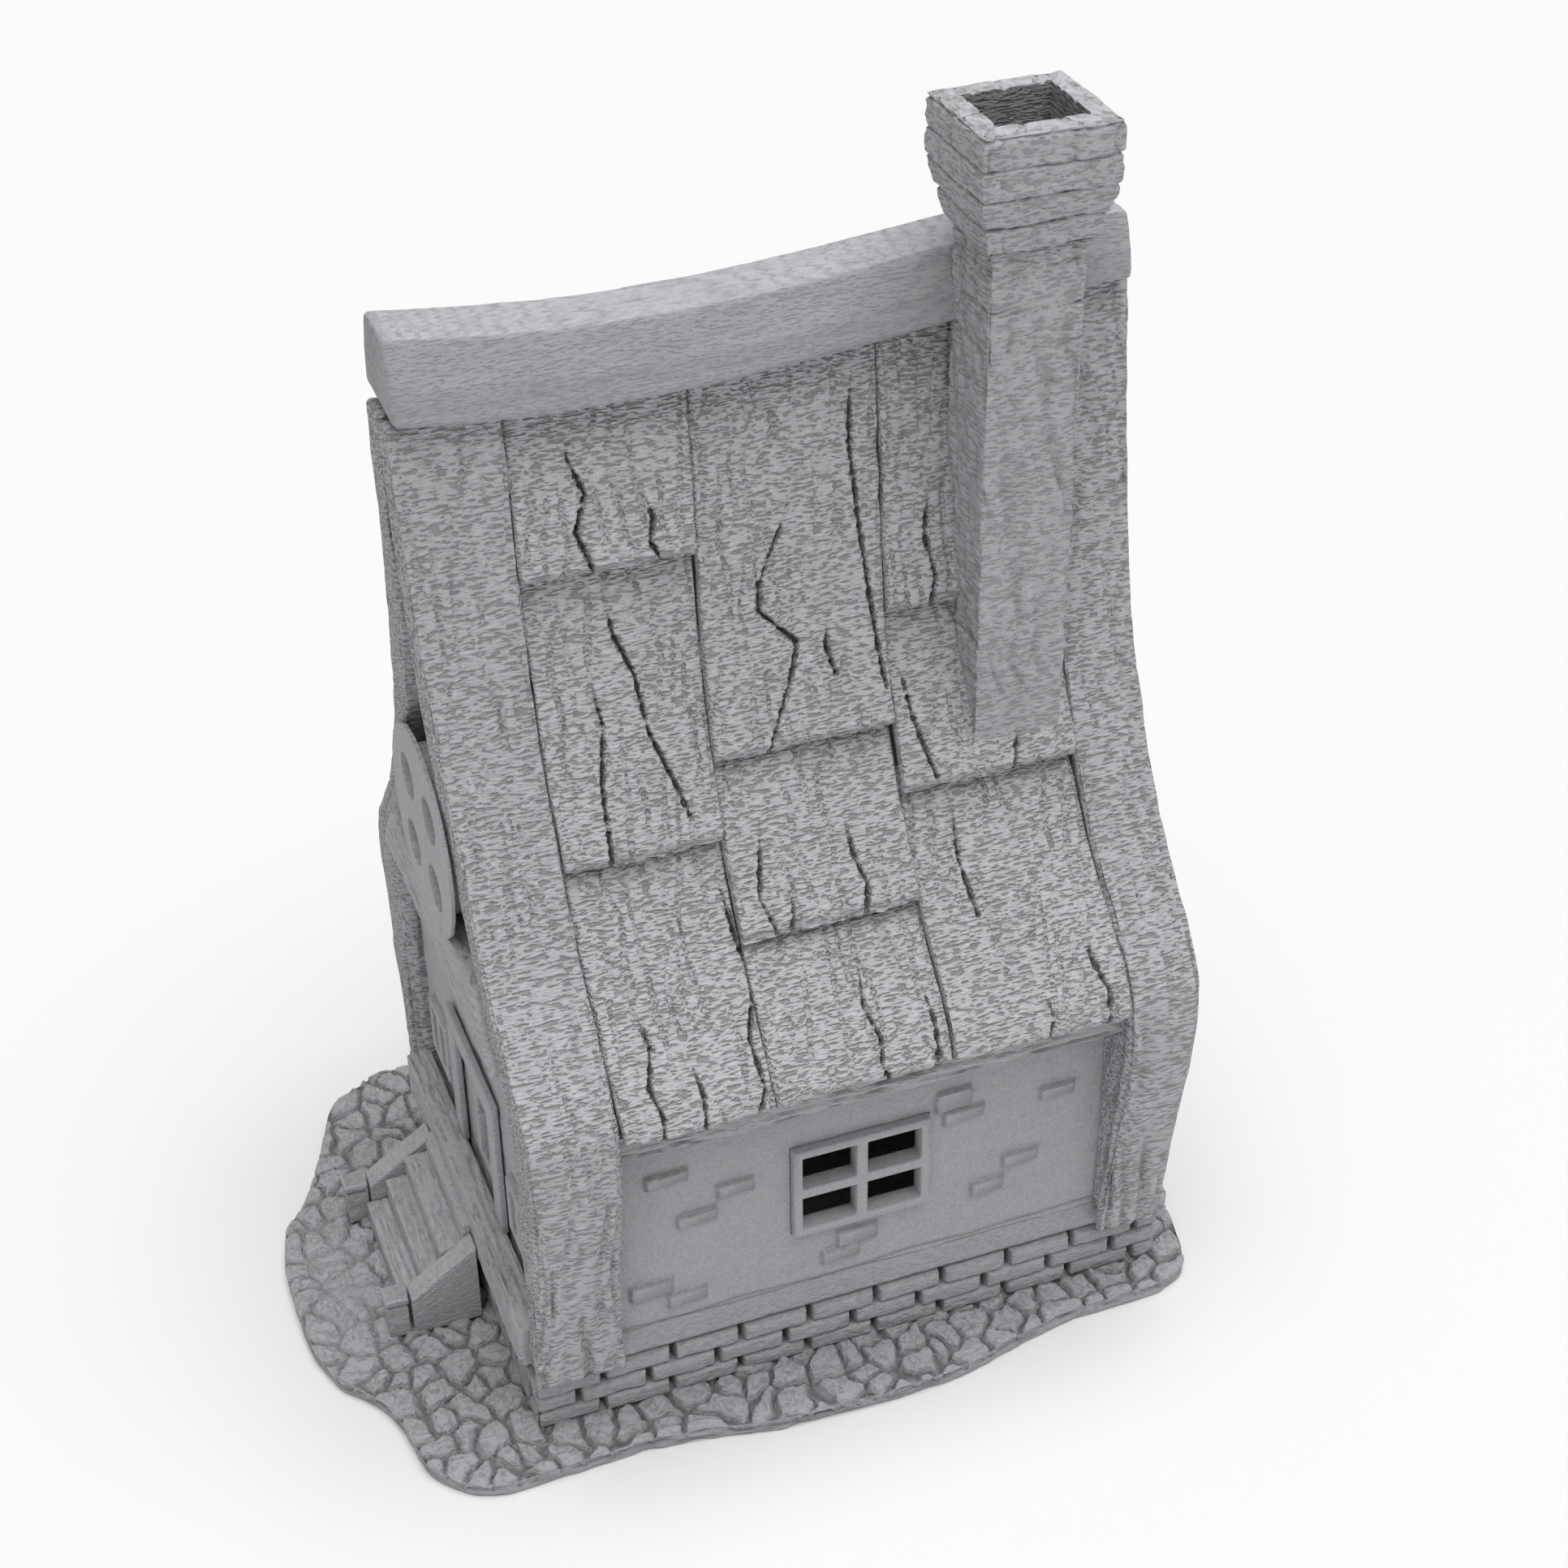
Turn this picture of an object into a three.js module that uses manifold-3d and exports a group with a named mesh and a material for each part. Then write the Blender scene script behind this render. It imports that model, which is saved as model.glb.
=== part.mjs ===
// A printed tabletop cottage on a cobbled base: curved cruck frame, steep boarded roof, steps to the door.
// Millimetres, +Z up, front door facing -Y, ridge along Y. The house shell lifts off its brick plinth.
import * as THREE from 'three';
import * as BufferGeometryUtils from 'three/addons/utils/BufferGeometryUtils.js';
import Module from 'manifold-3d';

const wasm = await Module();
wasm.setup();

// Driving dimensions
const GAP = 0.3;
const BASE_TOP = 3.5;
const PLINTH_HALF_X = 34.3;
const PLINTH_HALF_Y = 50;
const PLINTH_TOP = 17.7;
const PLINTH_WALL = 3;
const LIP_THICK = 1.6;
const LIP_TOP = 19.6;

const WALL_FACE_X = 33.8;
const WALL_THICK = 2.4;
const WALL_TOP = 54.8;
const EAVE_TOP = 57.5;
const EAVE_FACE_X = 38;

const GABLE_FACE_Y = 46.8;
const GABLE_THICK = 2.4;
const BEAM_FACE_Y = 51.3;

const CRUCK_OUTER_Y = 50.3;
const CRUCK_FRONT_DEPTH = 13.8;
const CRUCK_BACK_DEPTH = 12.1;
const CRUCK_FOOT_Z = 13.6;
const CRUCK_FRONT_TOP = 151.5;
const CRUCK_BACK_TOP = 155.2;
const CRUCK_DEEP = 7;
const CRUCK_SHOULDER_Z = 64;
const CRUCK_MEET_Z = 146;
const POST_INNER_X = 31.6;
const BAY_FRONT_Y = CRUCK_FRONT_DEPTH - CRUCK_OUTER_Y + GAP;
const BAY_BACK_Y = CRUCK_OUTER_Y - CRUCK_BACK_DEPTH - GAP;

const SILL = { top: 22, edgeBottom: 14.5 };
const TIE = { bottom: 67.5, top: 77.5, faceY: 50.3 };
const GABLE = { bottom: 22.3, top: 128 };

const BOARD_THICK = 1.8;
const BOARD_LOW_DEPTH = -0.4;
const BOARD_HIGH_DEPTH = 2.6;
const BOARD_LAP = 3;
const BOARD_TOP_LIMIT = 151.3;
const BOARD_EDGE_WAVE = 0.7;
const DECK_DEPTH = 5.2;
const DECK_THICK = 1.8;
const DECK_LOW_Z = 66;
const DECK_HIGH_Z = 143;
const DECK_TOP_SLOPE = 4;

const SHAFT = { x0: 5.7, x1: 18.3, y0: 23, y1: 36.7, bottom: 90, top: 171 };
const CAP_LOW_Z = 169;
const CAP_LOW_OVERHANG = 0.5;
const CAP_OVERHANG = 2.6;
const CAP_WALL = 3.3;
const CAP_FLARE_Z = 176.4;
const CAP_TOP_Z = 185.1;

const STAIR = { left: -17.4, right: 5.2, string: 3.8, rise: 3.8, fronts: [-62.9, -59.5, -56.2, -52.6] };
const NEWEL_FRONT_Y = -66;
const NEWEL_TOP = 11;
const STRING_TOP_BACK = 17.3;
const STRING_TOP_FRONT = 10;

const WINDOW = { y0: -10.4, y1: 11.1, z0: 28.2, z1: 45, frame: 1.6, bar: 1.7, inset: 1.8, proud: 1.2 };
const SMALL_WINDOW = { x0: 16.6, x1: 27, z0: 27.4, z1: 38, frame: 1.4, bar: 1.5, inset: 1.6, proud: 0.9 };
const ROUND = { z: 88.4, hub: 12.1, rim: 15.4, faceY: 51.2, wallHole: 10.9 };
const ROUND_LIGHT = { acrossX: 5.7, acrossZ: 5.6, radius: 3.5 };
const DOOR = { half: 9.6, bottom: 22.4, top: 44, jamb: 3.2, lap: 0.6, proud: 1.2, thick: 2 };
const DOOR_RECESS = { half: 2.4, bottom: 26, top: 37, deep: 1.2 };
const DOOR_PULL = { half: 0.6, bottom: 28, top: 35.5, proud: 0.6, deep: 1.2 };
const BRICK_PROUD = 0.8;
const EXTRUDE = { bevelEnabled: false, curveSegments: 10 };

// Half width of the frame's outside against height, from cruck foot to ridge
const ROOF_LINE = new THREE.SplineCurve([
  new THREE.Vector2(36.2, 5),
  new THREE.Vector2(37.7, 20),
  new THREE.Vector2(40, 35),
  new THREE.Vector2(42.2, 49),
  new THREE.Vector2(42, 59),
  new THREE.Vector2(39.4, 66),
  new THREE.Vector2(27.1, 80),
  new THREE.Vector2(18.3, 95),
  new THREE.Vector2(12.5, 110),
  new THREE.Vector2(9.2, 125),
  new THREE.Vector2(6.9, 140),
  new THREE.Vector2(5, 155),
]);

// Ridge beam: place along the ridge, underside, top
const BEAM_LINE = [
  [-51.8, 153.3, 163.8], [-36, 151.9, 162.1], [-20, 151.6, 160.9], [0, 152.3, 161.4],
  [20, 154.4, 163.4], [36, 155.7, 164.2], [50, 156.4, 164.6],
];
const BEAM_HALF = { foot: 7.5, shoulder: 6.8, crown: 4.6, shoulderShare: 0.45, endDraw: 0.6 };

// Base outline, from the front left corner round the front, the right side and the back
const BASE_OUTLINE = [
  [-52.4, -49], [-51.5, -55], [-46.6, -62.6], [-38.2, -65.6], [-30.4, -69.1], [-25.6, -71.4],
  [-21, -75.6], [-12, -77.6], [-4.9, -77.7], [2.6, -77.6], [6.6, -77.2], [13.6, -75],
  [16.6, -72.4], [19.9, -69.8], [24.8, -68.2], [34.4, -66.8], [39.2, -62.8], [40.4, -61],
  [41.6, -57.4], [41.5, -48], [41, -36], [42.3, -26], [44.2, -17.4], [44.9, -7], [45.2, 3],
  [44.6, 13], [41.8, 23.8], [39.9, 33], [39.9, 44.6], [39.4, 49.4], [37.4, 53.8], [32.5, 55.4],
  [20, 57.6], [6, 56.4], [-8, 58], [-22, 56.8], [-34, 57.4], [-42, 54], [-45.6, 46],
  [-45, 34], [-47, 20], [-46.2, 6], [-48, -8], [-46.6, -22], [-48.4, -36],
];

// Raised wall bricks: start along the wall, lower edge, length, height
const WALL_BRICKS = [
  [11.9, 44.5, 5.6, 3.8], [13.2, 41.8, 6.4, 2.5], [28.4, 41.6, 5.6, 2.5], [22.9, 30.3, 5.8, 2.5],
  [17.9, 26.2, 5.2, 2.8], [-3.2, 23.4, 6.3, 3], [-5.6, 20.9, 6, 2.4], [-31.9, 44.4, 6.2, 2.3],
  [-21.4, 39.4, 5.5, 2.6], [-27.5, 35.7, 6, 2.3], [-34.9, 23.5, 6.4, 3], [-29.3, 20.6, 5.8, 2.6],
];

// Roof boards of one slope: name, column, upper end, lower end
const BOARDS = [
  ['front_upper', 0, 148, 129],
  ['front_middle', 0, 129, 91],
  ['front_lower', 0, 91, 60.4],
  ['centre_upper', 1, 149, 100.4],
  ['centre_middle', 1, 100.4, 79],
  ['centre_lower', 1, 79, 60.8],
  ['back_upper', 2, 148.5, 115.2],
  ['back_middle', 2, 115.2, 91.6],
  ['back_lower', 2, 91.6, 60.6],
];

const COLOURS = {
  stone: '#9c9da0',
  timber: '#a6a7aa',
  wall: '#a9aaad',
  board: '#999a9d',
};

const cottage = new THREE.Group();

function add(name, geometry, colour) {
  const material = new THREE.MeshStandardMaterial({ color: colour, roughness: 0.85, metalness: 0 });
  const mesh = new THREE.Mesh(geometry, material);
  mesh.name = name;
  cottage.add(mesh);
  return mesh;
}

function box(x0, x1, y0, y1, z0, z1) {
  const geometry = new THREE.BoxGeometry(x1 - x0, y1 - y0, z1 - z0);
  geometry.translate((x0 + x1) / 2, (y0 + y1) / 2, (z0 + z1) / 2);
  return geometry;
}

function shapeOf(points) {
  return new THREE.Shape(points.map(([a, b]) => new THREE.Vector2(a, b)));
}

// A flat outline in X and Z, drawn out along Y from y0 to y1
function drawnAlongY(shape, y0, y1) {
  const geometry = new THREE.ExtrudeGeometry(shape, { ...EXTRUDE, depth: y1 - y0 });
  geometry.rotateX(Math.PI / 2);
  geometry.translate(0, y1, 0);
  return geometry;
}

// A flat outline in Y and Z, drawn out along X from x0 to x1
function drawnAlongX(shape, x0, x1) {
  const geometry = new THREE.ExtrudeGeometry(shape, { ...EXTRUDE, depth: x1 - x0 });
  geometry.rotateX(Math.PI / 2);
  geometry.rotateZ(Math.PI / 2);
  geometry.translate(x0, 0, 0);
  return geometry;
}

function drawnUp(shape, z0, z1) {
  const geometry = new THREE.ExtrudeGeometry(shape, { ...EXTRUDE, depth: z1 - z0 });
  geometry.translate(0, 0, z0);
  return geometry;
}

// Merged positions and triangles of a closed geometry, as a solid for cutting and joining
function solid(geometry) {
  const bare = geometry.clone();
  bare.deleteAttribute('normal');
  bare.deleteAttribute('uv');
  const merged = BufferGeometryUtils.mergeVertices(bare, 1e-4);
  return new wasm.Manifold(new wasm.Mesh({
    numProp: 3,
    vertProperties: new Float32Array(merged.attributes.position.array),
    triVerts: new Uint32Array(merged.index.array),
  }));
}

function geometryOf(body) {
  const mesh = body.getMesh();
  const geometry = new THREE.BufferGeometry();
  geometry.setAttribute('position', new THREE.BufferAttribute(new Float32Array(mesh.vertProperties), 3));
  geometry.setIndex(new THREE.BufferAttribute(new Uint32Array(mesh.triVerts), 1));
  return geometry;
}

function cut(geometry, ...tools) {
  return geometryOf(tools.reduce((body, tool) => body.subtract(solid(tool)), solid(geometry)));
}

function join(...geometries) {
  return geometryOf(geometries.map(solid).reduce((body, other) => body.add(other)));
}

function mirroredX(geometry) {
  const mirrored = geometry.index ? geometry.toNonIndexed() : geometry.clone();
  const position = mirrored.attributes.position;
  const flipped = new Float32Array(position.array.length);
  for (let corner = 0; corner < position.count; corner += 1) {
    const source = corner - (corner % 3) + (2 - (corner % 3));
    flipped[3 * corner] = -position.getX(source);
    flipped[3 * corner + 1] = position.getY(source);
    flipped[3 * corner + 2] = position.getZ(source);
  }
  const result = new THREE.BufferGeometry();
  result.setAttribute('position', new THREE.BufferAttribute(flipped, 3));
  return result;
}

// Parameter of the roof line at a height, found by halving
function lineParameter(z) {
  let low = 0;
  let high = 1;
  for (let step = 0; step < 30; step += 1) {
    const middle = (low + high) / 2;
    if (ROOF_LINE.getPoint(middle).y < z) {
      low = middle;
    } else {
      high = middle;
    }
  }
  return (low + high) / 2;
}

// Point of the roof line at a height, moved in square to the line by a depth
function roofPoint(z, depth) {
  const parameter = lineParameter(z);
  const point = ROOF_LINE.getPoint(parameter);
  const tangent = ROOF_LINE.getTangent(parameter);
  return [point.x - depth * tangent.y, point.y + depth * tangent.x];
}

// Run of points along the roof line between two heights, at a depth, no nearer the middle than nearX
function roofRun(z0, z1, depth, steps, nearX = GAP / 2) {
  const points = [];
  for (let step = 0; step <= steps; step += 1) {
    const [x, z] = roofPoint(z0 + ((z1 - z0) * step) / steps, depth);
    points.push([Math.max(x, nearX), z]);
  }
  return points;
}

// Inside edge of a cruck, from its shoulder up to where the pair meets
const CRUCK_INNER = roofRun(CRUCK_SHOULDER_Z, CRUCK_MEET_Z, CRUCK_DEEP, 18)
  .map(([x, z]) => [Math.min(x, POST_INNER_X), z]);

// Half width between the crucks at a height
function bayHalf(z) {
  const above = CRUCK_INNER.findIndex(([, height]) => height > z);
  if (above <= 0) {
    return POST_INNER_X;
  }
  const [[x0, z0], [x1, z1]] = [CRUCK_INNER[above - 1], CRUCK_INNER[above]];
  return x0 + ((x1 - x0) * (z - z0)) / (z1 - z0);
}

// Closed outline that fills the bay between the crucks from one height to another, clear of both
function bayOutline(low, high) {
  const between = CRUCK_INNER.map(([, z]) => z).filter((z) => z > low && z < high);
  const right = [low, ...between, high].map((z) => [bayHalf(z) - GAP, z]);
  const left = right.map(([x, z]) => [-x, z]).reverse();
  return shapeOf([...right, ...left]);
}

// Base and plinth

function baseSlab() {
  return drawnUp(shapeOf(BASE_OUTLINE), 0, BASE_TOP);
}

// Plinth wall section: a brick course face outside and a raised locating lip inside
function plinthSection(face) {
  const seat = face - PLINTH_WALL;
  const inside = seat - LIP_THICK;
  const bottom = BASE_TOP;
  const outside = [[inside, bottom], [face, bottom], [face, PLINTH_TOP]];
  const lip = [[seat, PLINTH_TOP], [seat, LIP_TOP], [inside, LIP_TOP]];
  return [...outside, ...lip];
}

function plinthSide() {
  const reach = PLINTH_HALF_Y - PLINTH_WALL - LIP_THICK - GAP;
  return drawnAlongY(shapeOf(plinthSection(PLINTH_HALF_X)), -reach, reach);
}

function plinthEnd() {
  const long = drawnAlongX(shapeOf(plinthSection(PLINTH_HALF_Y)), -PLINTH_HALF_X, PLINTH_HALF_X);
  const beside = PLINTH_HALF_X - PLINTH_WALL;
  const above = [-1, 1].map((side) => {
    const edges = [side * beside, side * (PLINTH_HALF_X + 1)].sort((a, b) => a - b);
    return box(edges[0], edges[1], PLINTH_HALF_Y - 8, PLINTH_HALF_Y + 1, PLINTH_TOP, LIP_TOP + 1);
  });
  return cut(long, ...above);
}

// Steps

function stringer(x0) {
  const back = -BEAM_FACE_Y - GAP;
  const front = NEWEL_FRONT_Y + STAIR.string + GAP;
  const outline = [[front, BASE_TOP], [back, BASE_TOP], [back, STRING_TOP_BACK], [front, STRING_TOP_FRONT]];
  return drawnAlongX(shapeOf(outline), x0, x0 + STAIR.string);
}

function newel(x0) {
  return box(x0, x0 + STAIR.string, NEWEL_FRONT_Y, NEWEL_FRONT_Y + STAIR.string, BASE_TOP, NEWEL_TOP);
}

function tread(index) {
  const front = STAIR.fronts[index];
  const last = index === STAIR.fronts.length - 1;
  const back = last ? -BEAM_FACE_Y - GAP : STAIR.fronts[index + 1] - GAP / 3;
  const top = BASE_TOP + STAIR.rise * (index + 1);
  return box(STAIR.left + GAP / 3, STAIR.right - GAP / 3, front, back, BASE_TOP, top);
}

// Timber frame

function cruckOutline(top) {
  const outer = roofRun(CRUCK_FOOT_Z, top, 0, 26);
  const inner = [...CRUCK_INNER].reverse();
  const apex = [[GAP / 2, top]];
  const rest = PLINTH_HALF_X + GAP;
  const foot = [[POST_INNER_X, PLINTH_TOP + GAP], [rest, PLINTH_TOP + GAP], [rest, CRUCK_FOOT_Z]];
  return [...outer, ...apex, ...inner, ...foot];
}

function cruck(side, end) {
  const outline = cruckOutline(end < 0 ? CRUCK_FRONT_TOP : CRUCK_BACK_TOP);
  const shape = shapeOf(outline.map(([x, z]) => [side * x, z]));
  const depth = end < 0 ? CRUCK_FRONT_DEPTH : CRUCK_BACK_DEPTH;
  return drawnAlongY(shape, ...endRange(end, CRUCK_OUTER_Y - depth, CRUCK_OUTER_Y));
}

function endRange(end, near, far) {
  return end < 0 ? [-far, -near] : [near, far];
}

// Sill beam section: it sits on the plinth and hangs a thin edge down in front of the bricks
function sillBeam(end) {
  const half = POST_INNER_X - GAP;
  const [b0, b1] = endRange(end, GABLE_FACE_Y - GABLE_THICK + GAP, BEAM_FACE_Y);
  const [e0, e1] = endRange(end, PLINTH_HALF_Y + GAP, BEAM_FACE_Y);
  const [r0, r1] = endRange(end, 0, PLINTH_HALF_Y - PLINTH_WALL + GAP);
  const bar = box(-half, half, b0, b1, PLINTH_TOP + GAP, SILL.top);
  const edge = box(-half, half, e0, e1, SILL.edgeBottom, PLINTH_TOP + 1);
  const lipRoom = box(-half - 1, half + 1, r0, r1, 0, LIP_TOP + GAP);
  return cut(join(bar, edge), lipRoom);
}

function tieBeam(end) {
  return drawnAlongY(bayOutline(TIE.bottom, TIE.top), ...endRange(end, GABLE_FACE_Y + GAP, TIE.faceY));
}

function gable(end) {
  const [y0, y1] = endRange(end, GABLE_FACE_Y - GABLE_THICK, GABLE_FACE_Y);
  const panel = drawnAlongY(bayOutline(GABLE.bottom, GABLE.top), y0, y1);
  const holes = [discAlongY(0, ROUND.z, ROUND.wallHole, y0 - 1, y1 + 1)];
  if (end < 0) {
    const { x0, x1, z0, z1 } = SMALL_WINDOW;
    holes.push(box(x0, x1, y0 - 1, y1 + 1, z0, z1));
    holes.push(box(-x1, -x0, y0 - 1, y1 + 1, z0, z1));
    holes.push(box(-DOOR.half, DOOR.half, y0 - 1, y1 + 1, 0, DOOR.top));
  }
  return cut(panel, ...holes);
}

function discAlongY(x, z, radius, y0, y1) {
  const shape = new THREE.Shape();
  shape.absarc(x, z, radius, 0, 2 * Math.PI, false);
  return drawnAlongY(shape, y0, y1);
}

// Round gable window: a hub between the crucks, flat where it stands on the tie beam, a rim
// lapping the timbers' faces, and four round lights
function roundWindow(end) {
  const hub = discAlongY(0, ROUND.z, ROUND.hub, ...endRange(end, GABLE_FACE_Y + GAP, ROUND.faceY));
  const rim = discAlongY(0, ROUND.z, ROUND.rim, ...endRange(end, CRUCK_OUTER_Y + GAP, ROUND.faceY));
  const tieSpace = box(
    -ROUND.hub, ROUND.hub, ...endRange(end, GABLE_FACE_Y, TIE.faceY + GAP), TIE.bottom, TIE.top + GAP,
  );
  const lights = [];
  for (const side of [-1, 1]) {
    for (const level of [-1, 1]) {
      const [x, z] = [side * ROUND_LIGHT.acrossX, ROUND.z + level * ROUND_LIGHT.acrossZ];
      lights.push(discAlongY(x, z, ROUND_LIGHT.radius, ...endRange(end, GABLE_FACE_Y, ROUND.faceY + 1)));
    }
  }
  return cut(join(cut(hub, tieSpace), rim), ...lights);
}

// Panes of a square window, each as left, right, lower and upper edge
function panesOf(a0, a1, z0, z1, frame, bar, across, up) {
  const paneWide = (a1 - a0 - 2 * frame - (across - 1) * bar) / across;
  const paneHigh = (z1 - z0 - 2 * frame - (up - 1) * bar) / up;
  const panes = [];
  for (let column = 0; column < across; column += 1) {
    for (let row = 0; row < up; row += 1) {
      const left = a0 + frame + column * (paneWide + bar);
      const low = z0 + frame + row * (paneHigh + bar);
      panes.push([left, left + paneWide, low, low + paneHigh]);
    }
  }
  return panes;
}

function smallWindow(side) {
  const { x0, x1, z0, z1, frame, bar } = SMALL_WINDOW;
  const [a0, a1] = side > 0 ? [x0, x1] : [-x1, -x0];
  const [y0, y1] = [-GABLE_FACE_Y - SMALL_WINDOW.proud, -GABLE_FACE_Y + SMALL_WINDOW.inset];
  const edge = GAP / 2;
  const panes = panesOf(a0, a1, z0, z1, frame, bar, 2, 1);
  const ways = panes.map(([left, right, low, high]) => box(left, right, y0 - 1, y1 + 1, low, high));
  return cut(box(a0 + edge, a1 - edge, y0, y1, z0 + edge, z1 - edge), ...ways);
}

// Side walls

function sideWindow() {
  const { y0, y1, z0, z1, frame, bar } = WINDOW;
  const [x0, x1] = [WALL_FACE_X - WINDOW.inset, WALL_FACE_X + WINDOW.proud];
  const edge = GAP / 2;
  const panes = panesOf(y0, y1, z0, z1, frame, bar, 2, 2);
  const ways = panes.map(([left, right, low, high]) => box(x0 - 1, x1 + 1, left, right, low, high));
  return cut(box(x0, x1, y0 + edge, y1 - edge, z0 + edge, z1 - edge), ...ways);
}

function sideWall() {
  const inner = WALL_FACE_X - WALL_THICK;
  const panel = box(inner, WALL_FACE_X, BAY_FRONT_Y, BAY_BACK_Y, PLINTH_TOP + GAP, WALL_TOP);
  const bricks = WALL_BRICKS.map(([y, z, length, height]) => (
    box(WALL_FACE_X - 0.5, WALL_FACE_X + BRICK_PROUD, y, y + length, z, z + height)
  ));
  const opening = box(inner - 1, WALL_FACE_X + 2, WINDOW.y0, WINDOW.y1, WINDOW.z0, WINDOW.z1);
  return cut(join(panel, ...bricks), opening);
}

function eavePlate() {
  return box(POST_INNER_X, EAVE_FACE_X, BAY_FRONT_Y, BAY_BACK_Y, WALL_TOP + GAP / 2, EAVE_TOP);
}

// Door

function doorFrame() {
  const y0 = -GABLE_FACE_Y - DOOR.proud;
  const y1 = -GABLE_FACE_Y - GAP / 2;
  const outer = DOOR.half + DOOR.jamb;
  const inner = DOOR.half - DOOR.lap;
  const frame = box(-outer, outer, y0, y1, DOOR.bottom, DOOR.top + DOOR.jamb);
  const way = box(-inner, inner, y0 - 1, y1 + 1, DOOR.bottom - 1, DOOR.top - DOOR.lap);
  return cut(frame, way);
}

// Door leaf: thick boards with a tall recess in the middle
function doorLeaf() {
  const y0 = -GABLE_FACE_Y + GAP / 2;
  const { half, bottom, top, deep } = DOOR_RECESS;
  const leaf = box(-DOOR.half + GAP, DOOR.half - GAP, y0, y0 + DOOR.thick, DOOR.bottom, DOOR.top - GAP);
  return cut(leaf, box(-half, half, y0 - 1, y0 + deep, bottom, top));
}

function doorPull() {
  const { half, bottom, top, proud, deep } = DOOR_PULL;
  return box(-half, half, -GABLE_FACE_Y - proud, -GABLE_FACE_Y + deep, bottom, top);
}

// Roof

// Edge of a board column at a height: the two inner seams lean forward as they come down
function columnEdge(edge, z) {
  const lean = 3.3 * ((150 - z) / 90);
  return [BAY_FRONT_Y, -12 - lean, 14.2 - lean, BAY_BACK_Y][edge];
}

// Closed plate on the roof curve. Depth grows towards the upper end, so each board laps the next one down
function roofBoard(column, upper, lower, seed) {
  const across = 6;
  const along = 9;
  const top = Math.min(upper + BOARD_LAP, BOARD_TOP_LIMIT);
  const positions = [];
  for (let layer = 0; layer < 2; layer += 1) {
    for (let row = 0; row <= along; row += 1) {
      for (let step = 0; step <= across; step += 1) {
        const wave = BOARD_EDGE_WAVE * Math.sin(1.7 * step + seed) * (1 - row / along);
        const z = lower + wave + ((top - lower) * row) / along;
        const left = columnEdge(column, z) + GAP / 2;
        const right = columnEdge(column + 1, z) - GAP / 2;
        const lift = BOARD_LOW_DEPTH + ((BOARD_HIGH_DEPTH - BOARD_LOW_DEPTH) * row) / along;
        const [x, height] = roofPoint(z, lift + layer * BOARD_THICK);
        positions.push(Math.max(x, GAP / 2), left + ((right - left) * step) / across, height);
      }
    }
  }
  return closedPlate(positions, across, along);
}

// Faces of a plate stored as two grids, outer then inner, joined round the rim
function closedPlate(positions, across, along) {
  const index = [];
  const count = (across + 1) * (along + 1);
  const quad = (a, b, c, d) => index.push(a, b, c, a, c, d);
  const at = (row, column) => row * (across + 1) + column;
  for (let row = 0; row < along; row += 1) {
    for (let column = 0; column < across; column += 1) {
      const [a, b] = [at(row, column), at(row, column + 1)];
      const [c, d] = [at(row + 1, column + 1), at(row + 1, column)];
      quad(a, b, c, d);
      quad(count + d, count + c, count + b, count + a);
    }
  }
  for (let column = 0; column < across; column += 1) {
    quad(at(0, column), count + at(0, column), count + at(0, column + 1), at(0, column + 1));
    quad(at(along, column + 1), count + at(along, column + 1), count + at(along, column), at(along, column));
  }
  for (let row = 0; row < along; row += 1) {
    quad(at(row + 1, 0), count + at(row + 1, 0), count + at(row, 0), at(row, 0));
    quad(at(row, across), count + at(row, across), count + at(row + 1, across), at(row + 1, across));
  }
  const geometry = new THREE.BufferGeometry();
  geometry.setAttribute('position', new THREE.BufferAttribute(new Float32Array(positions), 3));
  geometry.setIndex(index);
  return geometry;
}

function roofDeck() {
  const outer = roofRun(DECK_LOW_Z, DECK_HIGH_Z, DECK_DEPTH, 14);
  const inner = roofRun(DECK_LOW_Z, DECK_HIGH_Z - DECK_TOP_SLOPE, DECK_DEPTH + DECK_THICK, 14).reverse();
  return drawnAlongY(shapeOf([...outer, ...inner]), BAY_FRONT_Y, BAY_BACK_Y);
}

// Upright block as wide as the chimney shaft and a margin all round
function shaftBox(margin, z0, z1) {
  return box(SHAFT.x0 - margin, SHAFT.x1 + margin, SHAFT.y0 - margin, SHAFT.y1 + margin, z0, z1);
}

function shaftRoom() {
  return shaftBox(GAP, SHAFT.bottom - GAP, CAP_TOP_Z);
}

// Ridge beam: a sagging bar, wider at its foot, drawn in a little at both ends
function ridgeBeam() {
  const foot = new THREE.SplineCurve(BEAM_LINE.map(([y, low]) => new THREE.Vector2(y, low)));
  const crown = new THREE.SplineCurve(BEAM_LINE.map(([y, , high]) => new THREE.Vector2(y, high)));
  const stations = 14;
  const positions = [];
  for (let station = 0; station <= stations; station += 1) {
    const bottom = foot.getPoint(station / stations);
    const top = crown.getPoint(station / stations);
    const drawn = station === 0 || station === stations ? BEAM_HALF.endDraw : 0;
    const [low, high] = [bottom.y + drawn, top.y - drawn];
    const middle = low + BEAM_HALF.shoulderShare * (high - low);
    const wide = BEAM_HALF.foot - drawn;
    const shoulder = BEAM_HALF.shoulder - drawn;
    const narrow = BEAM_HALF.crown - drawn;
    const right = [[wide, low], [shoulder, middle], [narrow, high]];
    const left = [[-narrow, high], [-shoulder, middle]];
    for (const [x, z] of [[-wide, low], ...right, ...left]) {
      positions.push(x, bottom.x, z);
    }
  }
  return closedLoft(positions, 6, stations + 1);
}

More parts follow.
